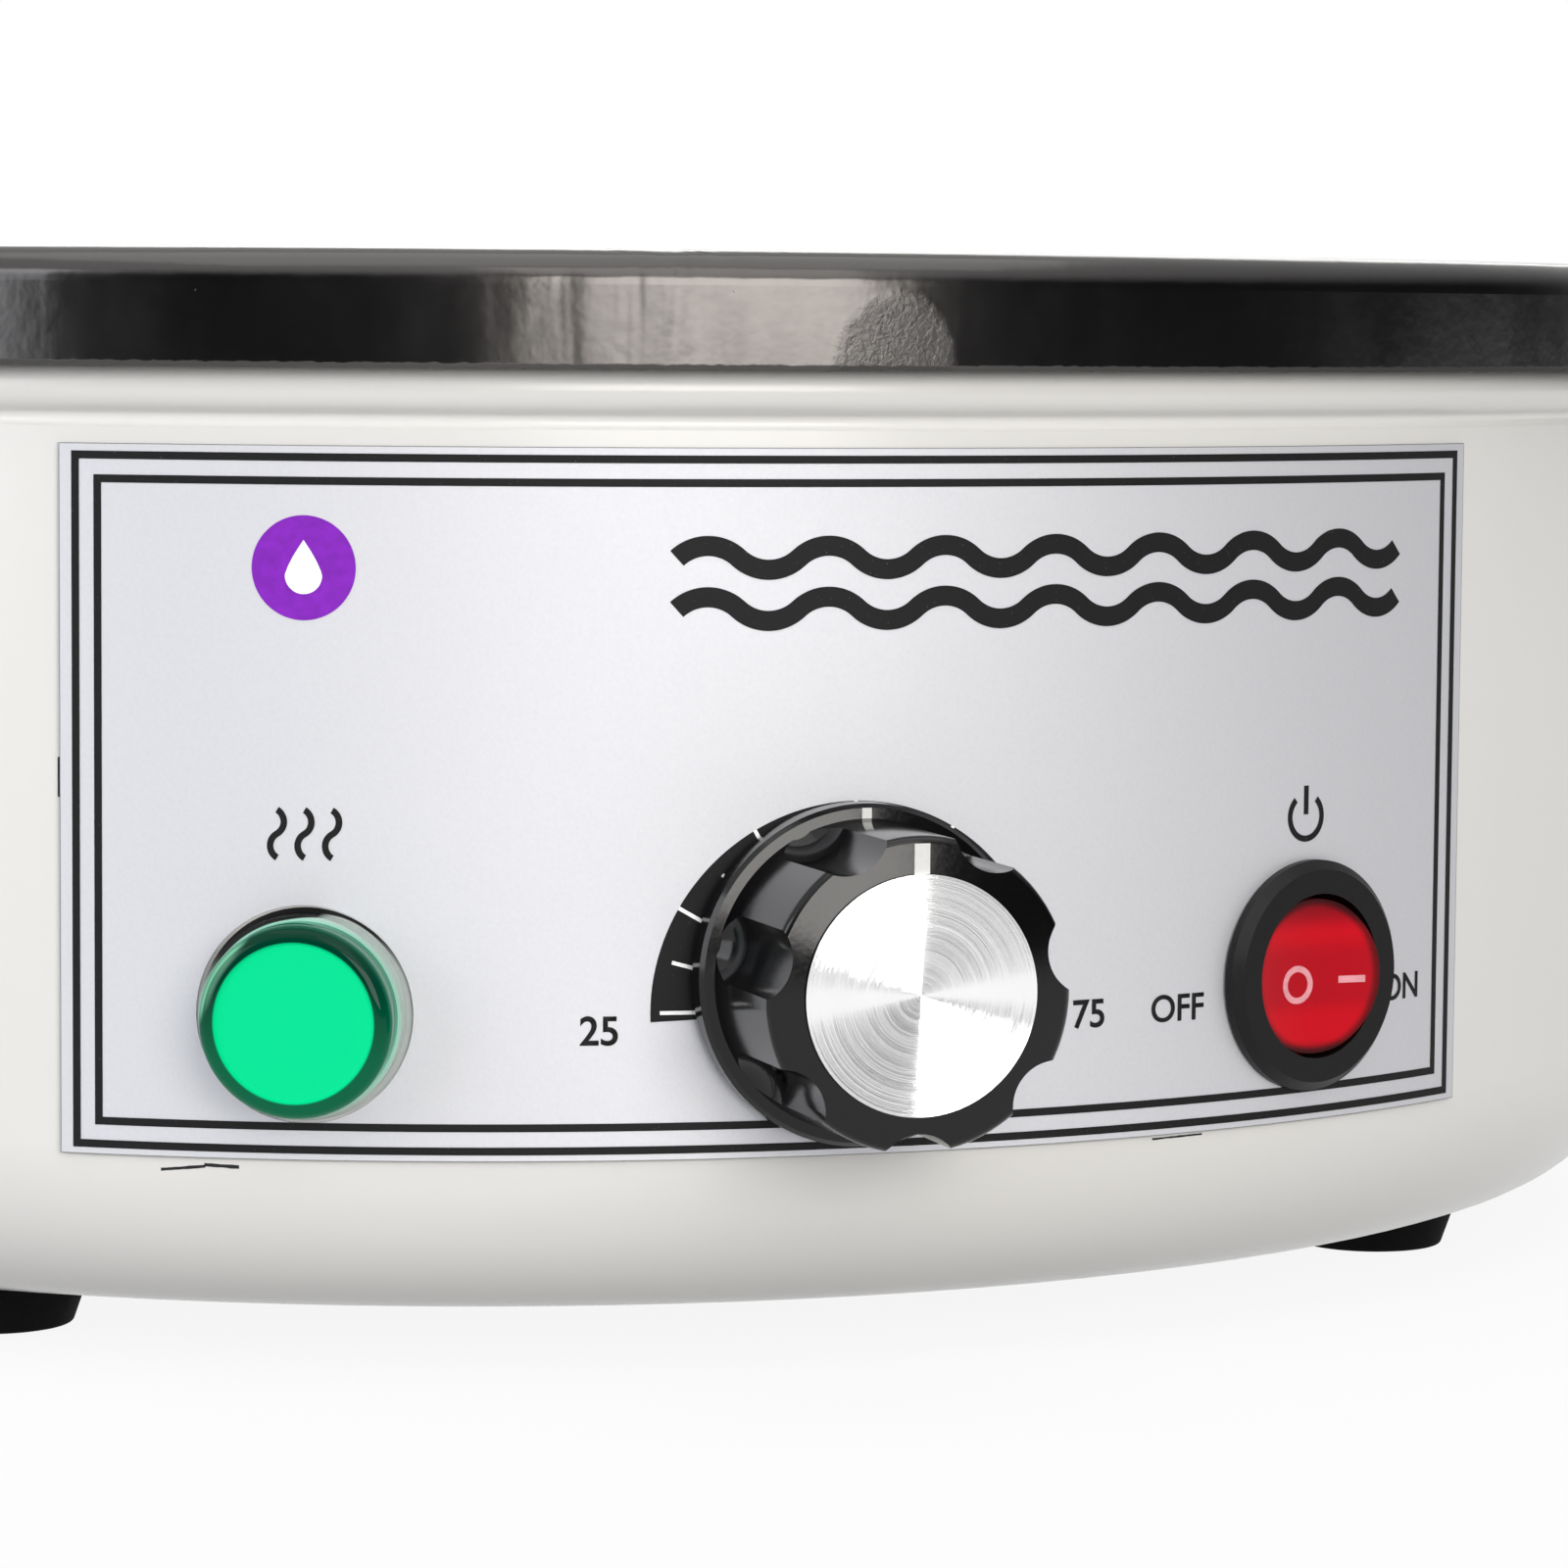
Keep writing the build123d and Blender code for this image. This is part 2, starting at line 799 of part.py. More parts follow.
def thermostat_bushing():
    shoulder = disc(bushing_shoulder_radius, -thermostat_front(), -inside_seat(bushing_shoulder_radius))
    bushing = shoulder + disc(bushing_radius, -inside_seat(bushing_shoulder_radius), bushing_reach)
    bushing -= disc(shaft_radius + run_gap, -thermostat_front() - overrun, bushing_reach + overrun)
    return on_wall(0, knob_rise) * bushing


def thermostat_nut():
    nut = hexagon(bushing_nut_flats, label_gauge, label_gauge + bushing_nut_height)
    nut -= disc(bushing_radius, 0, bushing_reach)
    return on_wall(0, knob_rise) * nut


def thermostat_back():
    return thermostat_front() + thermostat_depth


def thermostat_tabs():
    tab = slab(tab_gauge, tab_width, -thermostat_back() - thermostat_tab_length, -thermostat_back())
    places = [Pos(side * thermostat_tab_spread / 2, -thermostat_tab_drop, 0) for side in (-1, 1)]
    return group([on_wall(0, knob_rise) * place * tab for place in places])


bulb_level = bowl_underside - bulb_radius


def sensor_bulb():
    bulb = Rot(quarter_turn, 0, 0) * Cylinder(bulb_radius, bulb_length)
    bulb = fillet(bulb.edges(), bulb_radius / 3)
    return Pos(0, 0, bulb_level) * bulb


def capillary_tube():
    start = wall_point(0, knob_rise, 0, -tube_exit_drop, -thermostat_back())
    drop_y = start.Y + tube_standoff
    level = base_top + tube_level
    rise_y = -bulb_length / 2 - bulb_tube_lead
    points = [
        (0, start.Y, start.Z),
        (0, drop_y, start.Z),
        (0, drop_y, level),
        (0, rise_y, level),
        (0, rise_y, bulb_level),
        (0, -bulb_length / 2, bulb_level),
    ]
    return lead("capillary tube", points, tube_radius)


def bulb_clip():
    outer = bulb_radius + seat_gap + clip_gauge
    half = clip_width / 2
    saddle = disc(outer, -half, half) + Pos(0, outer / 2, 0) * slab(2 * outer, outer, -half, half)
    feet = Pos(0, bulb_radius - clip_gauge / 2, 0) * slab(
        2 * (outer + clip_foot), clip_gauge, -half, half
    )
    clip = saddle + feet
    bore = disc(bulb_radius + seat_gap, -clip_width, clip_width)
    bore += Pos(0, outer / 2, 0) * slab(2 * (bulb_radius + seat_gap), outer, -clip_width, clip_width)
    clip -= bore
    above = Pos(0, bulb_radius + outer, 0) * slab(4 * outer, 2 * outer, -clip_width, clip_width)
    clip -= above
    return Pos(0, 0, bulb_level) * Rot(quarter_turn, 0, 0) * clip


# Pilot lamp


def at_lamp(piece):
    return on_wall(lamp_azimuth, lamp_rise) * piece


def lamp_collar():
    return at_lamp(ring(lamp_collar_radius, lamp_barrel_radius, 0, lamp_collar_height))


def lamp_lens():
    lens = disc(lens_radius, lamp_collar_height, lens_reach)
    lens = fillet(lens.edges().sort_by(Axis.Z)[-1], lens_bevel)
    lens -= disc(lens_radius - lens_wall, 0, lens_reach - lens_face)
    return at_lamp(lens)


def lamp_body():
    barrel = disc(lamp_barrel_radius, -lamp_depth, lamp_collar_height)
    barrel -= disc(lamp_barrel_radius - lamp_barrel_wall, -lamp_depth + lamp_barrel_wall, lens_reach)
    return at_lamp(barrel)


def lamp_nut():
    high = -inside_seat(lamp_nut_radius)
    return at_lamp(ring(lamp_nut_radius, lamp_barrel_radius, high - lamp_nut_height, high))


def lamp_bulb():
    low = lens_reach - lens_face - seat_gap - lamp_bulb_length
    stem_low = -lamp_depth + lamp_barrel_wall
    bulb = disc(lamp_bulb_radius, low, low + lamp_bulb_length)
    bulb = fillet(bulb.edges().sort_by(Axis.Z)[-1], lamp_bulb_radius / 2)
    return at_lamp(bulb + disc(lamp_bulb_radius / 2, stem_low, low))


def lamp_tabs():
    tab = slab(tab_gauge, lamp_tab_width, -lamp_depth - lamp_tab_length, -lamp_depth)
    places = [Pos(side * lamp_tab_spread / 2, 0, 0) for side in (-1, 1)]
    return group([at_lamp(place * tab) for place in places])


# Rocker switch


def at_switch(piece):
    return on_wall(switch_azimuth, switch_rise) * piece


bezel_high = label_gauge + bezel_height
well_radius = rocker_radius + rocker_gap
switch_back = barrel_depth


def switch_housing():
    bezel = disc(bezel_radius, label_gauge, bezel_high)
    bezel = chamfer(bezel.edges().sort_by(Axis.Z)[-1], bezel_bevel)
    housing = bezel + disc(barrel_radius, -switch_back, label_gauge)
    housing -= disc(well_radius, bezel_high - rocker_well, bezel_high + overrun)
    hole_length = 2 * (well_radius + trunnion_length)
    hole = Cylinder(trunnion_radius + run_gap, hole_length, rotation=(quarter_turn, 0, 0))
    housing -= Pos(0, 0, -rocker_pivot_depth) * hole
    return at_switch(housing)


def rocker_swing(angle):
    """The well's bore as the rocker meets it when turned by the angle about its trunnions."""
    bore = disc(rocker_radius + rocker_gap / 2, -barrel_depth, barrel_depth)
    return Pos(0, 0, -rocker_pivot_depth) * Rot(0, angle, 0) * Pos(0, 0, rocker_pivot_depth) * bore


def switch_rocker():
    top = rocker_edge_height + rocker_crest
    low = -rocker_pivot_depth - rocker_root
    rocker = disc(rocker_radius, low, top)
    dish = Cylinder(rocker_dish_radius, 4 * rocker_radius, rotation=(quarter_turn, 0, 0))
    rocker -= Pos(0, 0, rocker_crest + rocker_dish_radius) * dish
    rocker &= rocker_swing(rocker_tilt)
    rocker &= rocker_swing(-rocker_tilt)
    root_cut = slab(4 * rocker_radius, 4 * rocker_radius, low - overrun, -rocker_pivot_depth)
    root_cut -= slab(rocker_root_width, 4 * rocker_radius, low - 2 * overrun, -rocker_pivot_depth + overrun)
    rocker -= root_cut
    pivot_length = 2 * (well_radius + trunnion_length - seat_gap)
    trunnions = Cylinder(trunnion_radius, pivot_length, rotation=(quarter_turn, 0, 0))
    rocker += Pos(0, 0, -rocker_pivot_depth) * trunnions
    tilt = Pos(0, 0, -rocker_pivot_depth) * Rot(0, -rocker_tilt, 0) * Pos(0, 0, rocker_pivot_depth)
    return at_switch(tilt * rocker)


def switch_tabs():
    tab = slab(tab_gauge, switch_tab_width, -switch_back - switch_tab_length, -switch_back)
    places = [Pos(step * switch_tab_spread / 2, 0, 0) for step in (-1, 0, 1)]
    return group([at_switch(place * tab) for place in places])


# Mains inlet and fuse drawer


def at_inlet(piece):
    return on_wall(half_turn, inlet_rise) * piece


inlet_back = -inlet_seat_depth - inlet_body_depth
drawer_place = Pos(0, -drawer_drop, 0)


def socket_outline(width, height, corner):
    """A rectangle whose two upper corners are cut off."""
    half_width = width / 2
    half_height = height / 2
    return make_face(
        Polyline(
            (-half_width, -half_height),
            (half_width, -half_height),
            (half_width, half_height - corner),
            (half_width - corner, half_height),
            (corner - half_width, half_height),
            (-half_width, half_height - corner),
            close=True,
        )
    )


def pin_places():
    """The earth pin in the middle above the live and neutral pins."""
    middle = socket_rise
    low = Pos(0, middle - pin_stagger / 2, 0)
    high = Pos(0, middle + pin_stagger / 2, 0)
    return [low * Pos(-pin_spread / 2, 0, 0), high, low * Pos(pin_spread / 2, 0, 0)]


def inlet_housing():
    flange = slab(inlet_flange_width, inlet_flange_height, -inlet_seat_depth, inlet_face)
    flange = fillet(flange.edges().filter_by(Axis.Z), inlet_flange_round)
    housing = flange + slab(inlet_body_width, inlet_body_height, inlet_back, -inlet_seat_depth)
    socket = extrude(socket_outline(socket_width, socket_height, socket_corner), socket_depth + overrun)
    housing -= Pos(0, socket_rise, inlet_face - socket_depth) * socket
    for place in pin_places():
        housing -= place * slab(pin_width, pin_height, inlet_back - overrun, inlet_face)
    face_pocket = slab(
        drawer_width + 2 * drawer_gap,
        drawer_height + 2 * drawer_gap,
        inlet_face - drawer_face,
        inlet_face + overrun,
    )
    tray_pocket = slab(
        tray_width + 2 * drawer_gap,
        tray_height + 2 * drawer_gap,
        inlet_face - drawer_face - tray_length - drawer_gap,
        inlet_face,
    )
    housing -= drawer_place * (face_pocket + tray_pocket)
    for side in (-1, 1):
        housing -= Pos(side * inlet_screw_pitch / 2, 0, 0) * inlet_screw_blank(screw_gap)
    return at_inlet(housing)


def inlet_screw_blank(grow):
    """A countersunk screw, or with some growth the hole that takes it."""
    head_height = inlet_screw_head_radius - inlet_screw_radius
    head = Pos(0, 0, inlet_face - head_height) * Cone(
        inlet_screw_radius, inlet_screw_head_radius, head_height, align=base_align
    )
    if grow:
        head = offset_cone(head_height, grow)
    return head + disc(inlet_screw_radius + grow, inlet_face - inlet_screw_length, inlet_face - head_height)


def offset_cone(head_height, grow):
    """The countersink around a screw head, standing off it by the growth."""
    low = inlet_face - head_height
    return Pos(0, 0, low) * Cone(
        inlet_screw_radius + grow, inlet_screw_head_radius + grow, head_height, align=base_align
    )


def inlet_screws():
    screw = inlet_screw_blank(0)
    slot_depth = (inlet_screw_head_radius - inlet_screw_radius) / 2
    slot_width = inlet_screw_radius / 2
    for turn in (0, quarter_turn):
        slot = slab(inlet_screw_head_radius, slot_width, inlet_face - slot_depth, inlet_face + overrun)
        screw -= Rot(0, 0, turn) * slot
    places = [Pos(side * inlet_screw_pitch / 2, 0, 0) for side in (-1, 1)]
    return group([at_inlet(place * screw) for place in places])


def inlet_nuts():
    high = -inlet_seat_depth - wall_gauge
    nut = hexagon(inlet_nut_flats, high - inlet_nut_height, high)
    nut -= disc(inlet_screw_radius, high - inlet_nut_height - overrun, high + overrun)
    places = [Pos(side * inlet_screw_pitch / 2, 0, 0) for side in (-1, 1)]
    return group([at_inlet(place * nut) for place in places])


def inlet_pins():
    pin = slab(pin_width, pin_height, inlet_back - pin_tail, inlet_face - pin_recess)
    return group([at_inlet(place * pin) for place in pin_places()])


def fuse_drawer():
    front_low = inlet_face - drawer_face + drawer_gap
    front = slab(drawer_width, drawer_height, front_low, inlet_face)
    lip = Pos(0, drawer_height / 2 - drawer_lip, 0) * slab(
        drawer_width / 2, 2 * drawer_lip, inlet_face, inlet_face + drawer_lip
    )
    tray = slab(tray_width, tray_height, inlet_face - drawer_face - tray_length + drawer_gap, front_low)
    bay_high = inlet_face - drawer_face
    bay_low = bay_high - fuse_length - seat_gap
    bay = Pos(0, tray_wall, 0) * slab(tray_width - 2 * tray_wall, tray_height, bay_low, bay_high)
    return at_inlet(drawer_place * (front + lip + tray - bay))


fuse_centre_y = tray_wall - tray_height / 2 + fuse_radius
fuse_high = inlet_face - drawer_face


def fuse_glass():
    glass = disc(fuse_glass_radius, fuse_high - fuse_length + fuse_cap_length, fuse_high - fuse_cap_length)
    return at_inlet(drawer_place * Pos(0, fuse_centre_y, 0) * glass)


def fuse_caps():
    low = fuse_high - fuse_length
    near = disc(fuse_radius, fuse_high - fuse_cap_length, fuse_high)
    far = disc(fuse_radius, low, low + fuse_cap_length)
    return group([at_inlet(drawer_place * Pos(0, fuse_centre_y, 0) * cap) for cap in (near, far)])


# Terminal block and earth stud


def block_way_x(way):
    """The sideways place of a way, counted from the left."""
    return (way - (block_ways - 1) / 2) * block_pitch


def terminal_block():
    length = block_ways * block_pitch + 2 * block_side
    body = slab(length, block_length_y, base_top, base_top + block_height)
    for way in range(block_ways):
        entry = Cylinder(block_entry_radius, block_length_y + 2 * overrun, rotation=(quarter_turn, 0, 0))
        body -= Pos(block_way_x(way), 0, entry_level) * entry
        for side in (-1, 1):
            place = Pos(block_way_x(way), side * block_length_y / 4, 0)
            top = base_top + block_height
            body -= place * disc(block_screw_radius, top - block_screw_depth, top + overrun)
    return Pos(0, block_centre_y, 0) * body


def earth_stud():
    return Pos(0, earth_y, 0) * disc(earth_stud_radius, base_top, base_top + earth_stud_height)


def earth_nut():
    low = base_top + lug_gauge
    nut = hexagon(earth_nut_flats, low, low + earth_nut_height)
    return Pos(0, earth_y, 0) * (nut - disc(earth_stud_radius, base_top, low + earth_nut_height + overrun))


# Leads


def block_entry(way, side):
    """The point inside a way where a lead ends, seen from the block's front or back."""
    return (block_way_x(way), block_centre_y + side * (block_length_y / 2 - lead_entry), entry_level)


def pin_tail_point(index):
    local = pin_places()[index].position
    return wall_point(half_turn, inlet_rise, local.X, local.Y, inlet_back - pin_tail)


def mains_leads():
    leads = []
    for index, way in ((0, block_ways - 2), (2, 1)):
        tail = pin_tail_point(index)
        drop_y = tail.Y - lead_standoff
        end = block_entry(way, 1)
        points = [tail, (tail.X, drop_y, tail.Z), (tail.X, drop_y, entry_level), end]
        leads.append(lead("mains lead", points))
    return group(leads)


def earth_lead():
    tail = pin_tail_point(1)
    drop_y = tail.Y - lead_standoff
    level = base_top + lead_radius + seat_gap
    wire_end = earth_y + lug_radius + lead_radius
    points = [tail, (tail.X, drop_y, tail.Z), (tail.X, drop_y, level), (tail.X, wire_end, level)]
    wire = lead("earth lead", points)
    lug = Pos(0, earth_y, 0) * disc(lug_radius, base_top, base_top + lug_gauge)
    lug += Pos(0, wire_end, 0) * slab(2 * lead_radius, 2 * lug_radius, base_top, base_top + lug_gauge)
    lug -= Pos(0, earth_y, 0) * disc(earth_stud_radius + seat_gap, base_top - overrun, base_top + overrun)
    return wire + lug


def switch_tab_point(step, standoff):
    """A point in line with a switch tab, a given way in from the tab's end."""
    x = step * switch_tab_spread / 2
    return wall_point(switch_azimuth, switch_rise, x, 0, -switch_back - switch_tab_length - standoff)


def thermostat_tab_point(side, standoff):
    x = side * thermostat_tab_spread / 2
    depth = thermostat_back() + thermostat_tab_length + standoff
    return wall_point(0, knob_rise, x, -thermostat_tab_drop, -depth)


def lamp_tab_point(side, standoff):
    x = side * lamp_tab_spread / 2
    return wall_point(lamp_azimuth, lamp_rise, x, 0, -lamp_depth - lamp_tab_length - standoff)


def switch_leads():
    tab = switch_tab_point(1, 0)
    turn = switch_tab_point(1, lead_standoff)
    start = block_entry(block_ways - 2, -1)
    feed = [start, (start[0], -block_centre_y, entry_level), (turn.X, turn.Y, entry_level), turn, tab]
    link = [
        switch_tab_point(-1, 0),
        switch_tab_point(-1, link_standoff),
        thermostat_tab_point(1, lead_standoff),
        thermostat_tab_point(1, 0),
    ]
    return group([lead("switch feed lead", feed), lead("switch link lead", link)])


def heater_leads():
    cutout_low = clamp_low - cutout_height - cutout_tab_drop
    heater_tab_low = heater_low - heater_tab_drop
    tab = thermostat_tab_point(-1, 0)
    turn = thermostat_tab_point(-1, lead_standoff)
    near_x = heater_tab_circle - cutout_tab_spread / 2
    far_x = heater_tab_circle + cutout_tab_spread / 2
    tab_y = heater_tab_spread / 2
    level = base_top + heater_layer
    feed = [
        tab,
        turn,
        (turn.X, turn.Y, level),
        (stud_circle_radius, -heater_tab_circle / 2 - heater_tab_spread, level),
        (far_x, 0, level),
        (far_x, 0, cutout_low),
    ]
    link = [
        (near_x, 0, cutout_low),
        (near_x, 0, level),
        (heater_tab_circle / 2, block_centre_y - block_length_y / 2 - link_block_gap, level),
        (-heater_tab_circle / 2, -tab_y, level),
        (-heater_tab_circle, tab_y, level),
        (-heater_tab_circle, tab_y, heater_tab_low),
    ]
    start = block_entry(0, -1)
    neutral = [
        start,
        (start[0], start[1] - lead_standoff, entry_level),
        (-heater_tab_circle / 2, -tab_y, entry_level),
        (-heater_tab_circle, -tab_y, entry_level),
        (-heater_tab_circle, -tab_y, heater_tab_low),
    ]
    routes = {"heater feed lead": feed, "heater link lead": link, "heater neutral lead": neutral}
    return group([lead(name, points) for name, points in routes.items()])


def lamp_leads():
    leads = []
    for side, way in ((-1, 1), (1, 2)):
        tab = lamp_tab_point(side, 0)
        turn = lamp_tab_point(side, lead_standoff)
        end = block_entry(way, -1)
        drop = (turn.X, turn.Y, entry_level)
        run_in = (end[0], end[1] - 2 * lead_standoff, entry_level)
        points = [tab, turn, drop, run_in, end]
        leads.append(lead("lamp lead", points))
    return group(leads)


# Write each node


feet = {f"foot_{name}": foot(azimuth) for name, azimuth in foot_azimuths.items()}
foot_places = [around(foot_circle_radius, azimuth) for azimuth in foot_azimuths.values()]
nodes = {
    "bowl": bowl(),
    "bowl_gasket": bowl_gasket(),
    "body_shell": body_shell(),
    "base_plate": base_plate(),
    "front_label": front_label(),
    **feet,
    "foot_screws": group([place * foot_screw() for place in foot_places]),
    "foot_nuts": group([place * foot_nut() for place in foot_places]),
    "bowl_studs": bowl_studs(),
    "heater_plate": stack_plate(heater_radius, heater_low, bowl_underside, False),
    "heater_tabs": heater_tabs(),
    "clamp_plate": clamp_plate(),
    "insulation_pad": stack_plate(stack_radius, insulation_low, clamp_low, True),
    "support_plate": stack_plate(stack_radius, support_low, insulation_low, True),
    "stud_nuts": stud_nuts(),
    "tie_spacers": tie_spacers(),
    "tie_screws": tie_screws(),
    "cutout_body": cutout_body(),
    "cutout_screws": cutout_screws(),
    "cutout_tabs": cutout_tabs(),
    "knob_grip": knob_grip(),
    "knob_cap": knob_cap(),
    "knob_pointer": knob_pointer(),
    "knob_grub_screw": knob_grub_screw(),
    "thermostat_shaft": thermostat_shaft(),
    "thermostat_bushing": thermostat_bushing(),
    "thermostat_nut": thermostat_nut(),
    "thermostat_body": thermostat_body(),
    "thermostat_tabs": thermostat_tabs(),
    "capillary_tube": capillary_tube(),
    "sensor_bulb": sensor_bulb(),
    "bulb_clip": bulb_clip(),
    "lamp_lens": lamp_lens(),
    "lamp_collar": lamp_collar(),
    "lamp_body": lamp_body(),
    "lamp_nut": lamp_nut(),
    "lamp_bulb": lamp_bulb(),
    "lamp_tabs": lamp_tabs(),
    "switch_housing": switch_housing(),
    "switch_rocker": switch_rocker(),
    "switch_tabs": switch_tabs(),
    "inlet_housing": inlet_housing(),
    "inlet_pins": inlet_pins(),
    "inlet_screws": inlet_screws(),
    "inlet_nuts": inlet_nuts(),
    "fuse_drawer": fuse_drawer(),
    "fuse_glass": fuse_glass(),
    "fuse_caps": fuse_caps(),
    "terminal_block": terminal_block(),
    "earth_stud": earth_stud(),
    "earth_nut": earth_nut(),
    "mains_leads": mains_leads(),
    "earth_lead": earth_lead(),
    "switch_leads": switch_leads(),
    "heater_leads": heater_leads(),
    "lamp_leads": lamp_leads(),
}
for name, shape in nodes.items():
    export_step(shape, f"parts/{name}.step")
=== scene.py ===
import json
import math

import bpy
from mathutils import Matrix, Vector


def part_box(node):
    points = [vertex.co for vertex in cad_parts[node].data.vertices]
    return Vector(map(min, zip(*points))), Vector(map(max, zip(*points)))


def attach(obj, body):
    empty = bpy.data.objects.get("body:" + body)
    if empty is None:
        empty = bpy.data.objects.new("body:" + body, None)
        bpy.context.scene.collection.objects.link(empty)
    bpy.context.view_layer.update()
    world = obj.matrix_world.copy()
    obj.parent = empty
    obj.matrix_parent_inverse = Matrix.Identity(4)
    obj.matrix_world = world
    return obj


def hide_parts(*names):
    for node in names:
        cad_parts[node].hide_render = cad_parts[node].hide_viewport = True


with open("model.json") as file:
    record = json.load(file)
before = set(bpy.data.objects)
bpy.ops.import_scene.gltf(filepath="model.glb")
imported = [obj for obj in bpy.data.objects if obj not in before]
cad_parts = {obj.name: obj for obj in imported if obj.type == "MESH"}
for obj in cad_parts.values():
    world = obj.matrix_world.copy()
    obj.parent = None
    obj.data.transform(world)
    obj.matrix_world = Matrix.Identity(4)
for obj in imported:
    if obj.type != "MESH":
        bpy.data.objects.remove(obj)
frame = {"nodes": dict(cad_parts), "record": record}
nodes = frame["nodes"]
slotOf = {part["node"]: part["material_slot"] for part in frame["record"]["subparts"]}
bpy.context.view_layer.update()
mm = 0.001
tiny = 1e-9  # keeps a square root off zero
print("Frame loaded:", len(nodes), "nodes")


# Camera: low in front of the bath and left of the knob

cameraSettings = {
    "place": (-0.1665, -0.6258, 0.1008),
    "heading": (0.3085, 0.9512),
    "pitchDown": 0.084,
    "roll": 0.0078,
    "lens": 126.4,
    "sensor": 36.0,
}


def addCamera(settings):
    across, along = settings["heading"]
    level = math.cos(settings["pitchDown"])
    drop = math.sin(settings["pitchDown"])
    forward = Vector((across * level, along * level, -drop)).normalized()
    right = Vector((along, -across, 0)).normalized()
    up = right.cross(forward)
    turn = settings["roll"]
    rolledRight = right * math.cos(turn) + up * math.sin(turn)
    rolledUp = up * math.cos(turn) - right * math.sin(turn)
    data = bpy.data.cameras.new("view_camera")
    data.lens = settings["lens"]
    data.sensor_width = settings["sensor"]
    camera = bpy.data.objects.new("view_camera", data)
    axes = Matrix((rolledRight, rolledUp, -forward)).transposed().to_4x4()
    camera.matrix_world = Matrix.Translation(settings["place"]) @ axes
    bpy.context.scene.collection.objects.link(camera)
    bpy.context.scene.camera = camera


addCamera(cameraSettings)
bpy.context.scene.view_settings.view_transform = "Standard"
print("Camera placed")


# Shader sums: one output socket that Python's arithmetic works on


class Shade:
    def __init__(self, tree, socket=None):
        self.tree = tree
        self.socket = socket

    def node(self, kind, settings=None, inputs=None, output=0):
        made = self.tree.nodes.new(kind)
        for key, value in (settings or {}).items():
            setattr(made, key, value)
        for key, value in (inputs or {}).items():
            if isinstance(value, Shade):
                self.tree.links.new(value.socket, made.inputs[key])
            else:
                # a colour is three numbers and gets its alpha here
                color = made.inputs[key].type == "RGBA"
                made.inputs[key].default_value = (*value, 1) if color else value
        return Shade(self.tree, made.outputs[output] if len(made.outputs) else None)

    def sum(self, operation, *values):
        return self.node("ShaderNodeMath", {"operation": operation}, dict(enumerate(values)))

    def vector(self, operation, *values, output="Vector"):
        settings = {"operation": operation}
        return self.node("ShaderNodeVectorMath", settings, dict(enumerate(values)), output)

    def __add__(self, other):
        return self.sum("ADD", self, other)

    def __sub__(self, other):
        return self.sum("SUBTRACT", self, other)

    def __rsub__(self, other):
        return self.sum("SUBTRACT", other, self)

    def __mul__(self, other):
        return self.sum("MULTIPLY", self, other)

    def __truediv__(self, other):
        return self.sum("DIVIDE", self, other)

    def __lt__(self, other):
        return self.sum("LESS_THAN", self, other)

    __radd__ = __add__
    __rmul__ = __mul__

    def size(self):
        return self.sum("ABSOLUTE", self)

    def fade(self, start, end):
        # 0 at start and 1 at end, with a soft ease between
        settings = {"interpolation_type": "SMOOTHSTEP", "clamp": True}
        inputs = {"Value": self, "From Min": start, "From Max": end}
        return self.node("ShaderNodeMapRange", settings, inputs)

    def mix(self, first, second):
        # the first colour where this value is 0 and the second where it is 1
        inputs = {0: self, 6: first, 7: second}
        return self.node("ShaderNodeMix", {"data_type": "RGBA"}, inputs, 2)

    def blend(self, first, second):
        # the same for two surfaces or two backgrounds
        return self.node("ShaderNodeMixShader", None, {0: self, 1: first, 2: second})


def toned(color, share, lift=0.0):
    return tuple(channel * share + lift for channel in color)


def parts(shade, vector, axes="XYZ"):
    split = shade.node("ShaderNodeSeparateXYZ", None, {0: vector}).socket.node
    return [Shade(shade.tree, split.outputs[axis]) for axis in axes]


def noise(shade, place, scale, detail=2.0, rough=0.5, warp=0.0):
    inputs = {
        "Vector": place,
        "Scale": scale,
        "Detail": detail,
        "Roughness": rough,
        "Distortion": warp,
    }
    return shade.node("ShaderNodeTexNoise", None, inputs)


def cells(shade, place, scale, output):
    return shade.node("ShaderNodeTexVoronoi", None, {"Vector": place, "Scale": scale}, output)


def bump(shade, height, relief):
    # the relief is the millimetres that a height of 1 stands for
    inputs = {"Height": height, "Strength": 1.0, "Distance": relief * mm}
    return shade.node("ShaderNodeBump", None, inputs)


def objectPlace(shade):
    return shade.node("ShaderNodeTexCoord", output="Object")


def noiseLayers(shade, layers):
    # one noise for each named layer, on a stretched place where the layer says so
    place = objectPlace(shade)
    made = {}
    for name, values in layers.items():
        values = dict(values)
        stretch = values.pop("stretch", None)
        spot = shade.vector("MULTIPLY", place, stretch) if stretch else place
        made[name] = noise(shade, spot, **values)
    return made


def weighed(layers, weights):
    # the sum of the named layers, each times its weight
    total = 0.0
    for name, weight in weights.items():
        total = layers[name] * weight + total
    return total


def shaded(layers, weights, first, second):
    return weighed(layers, weights).mix(first, second)


def startFinish(name, settings):
    material = bpy.data.materials.new(name)
    material.use_nodes = True
    material.node_tree.nodes.clear()
    shade = Shade(material.node_tree)
    return material, shade, noiseLayers(shade, settings["layers"])


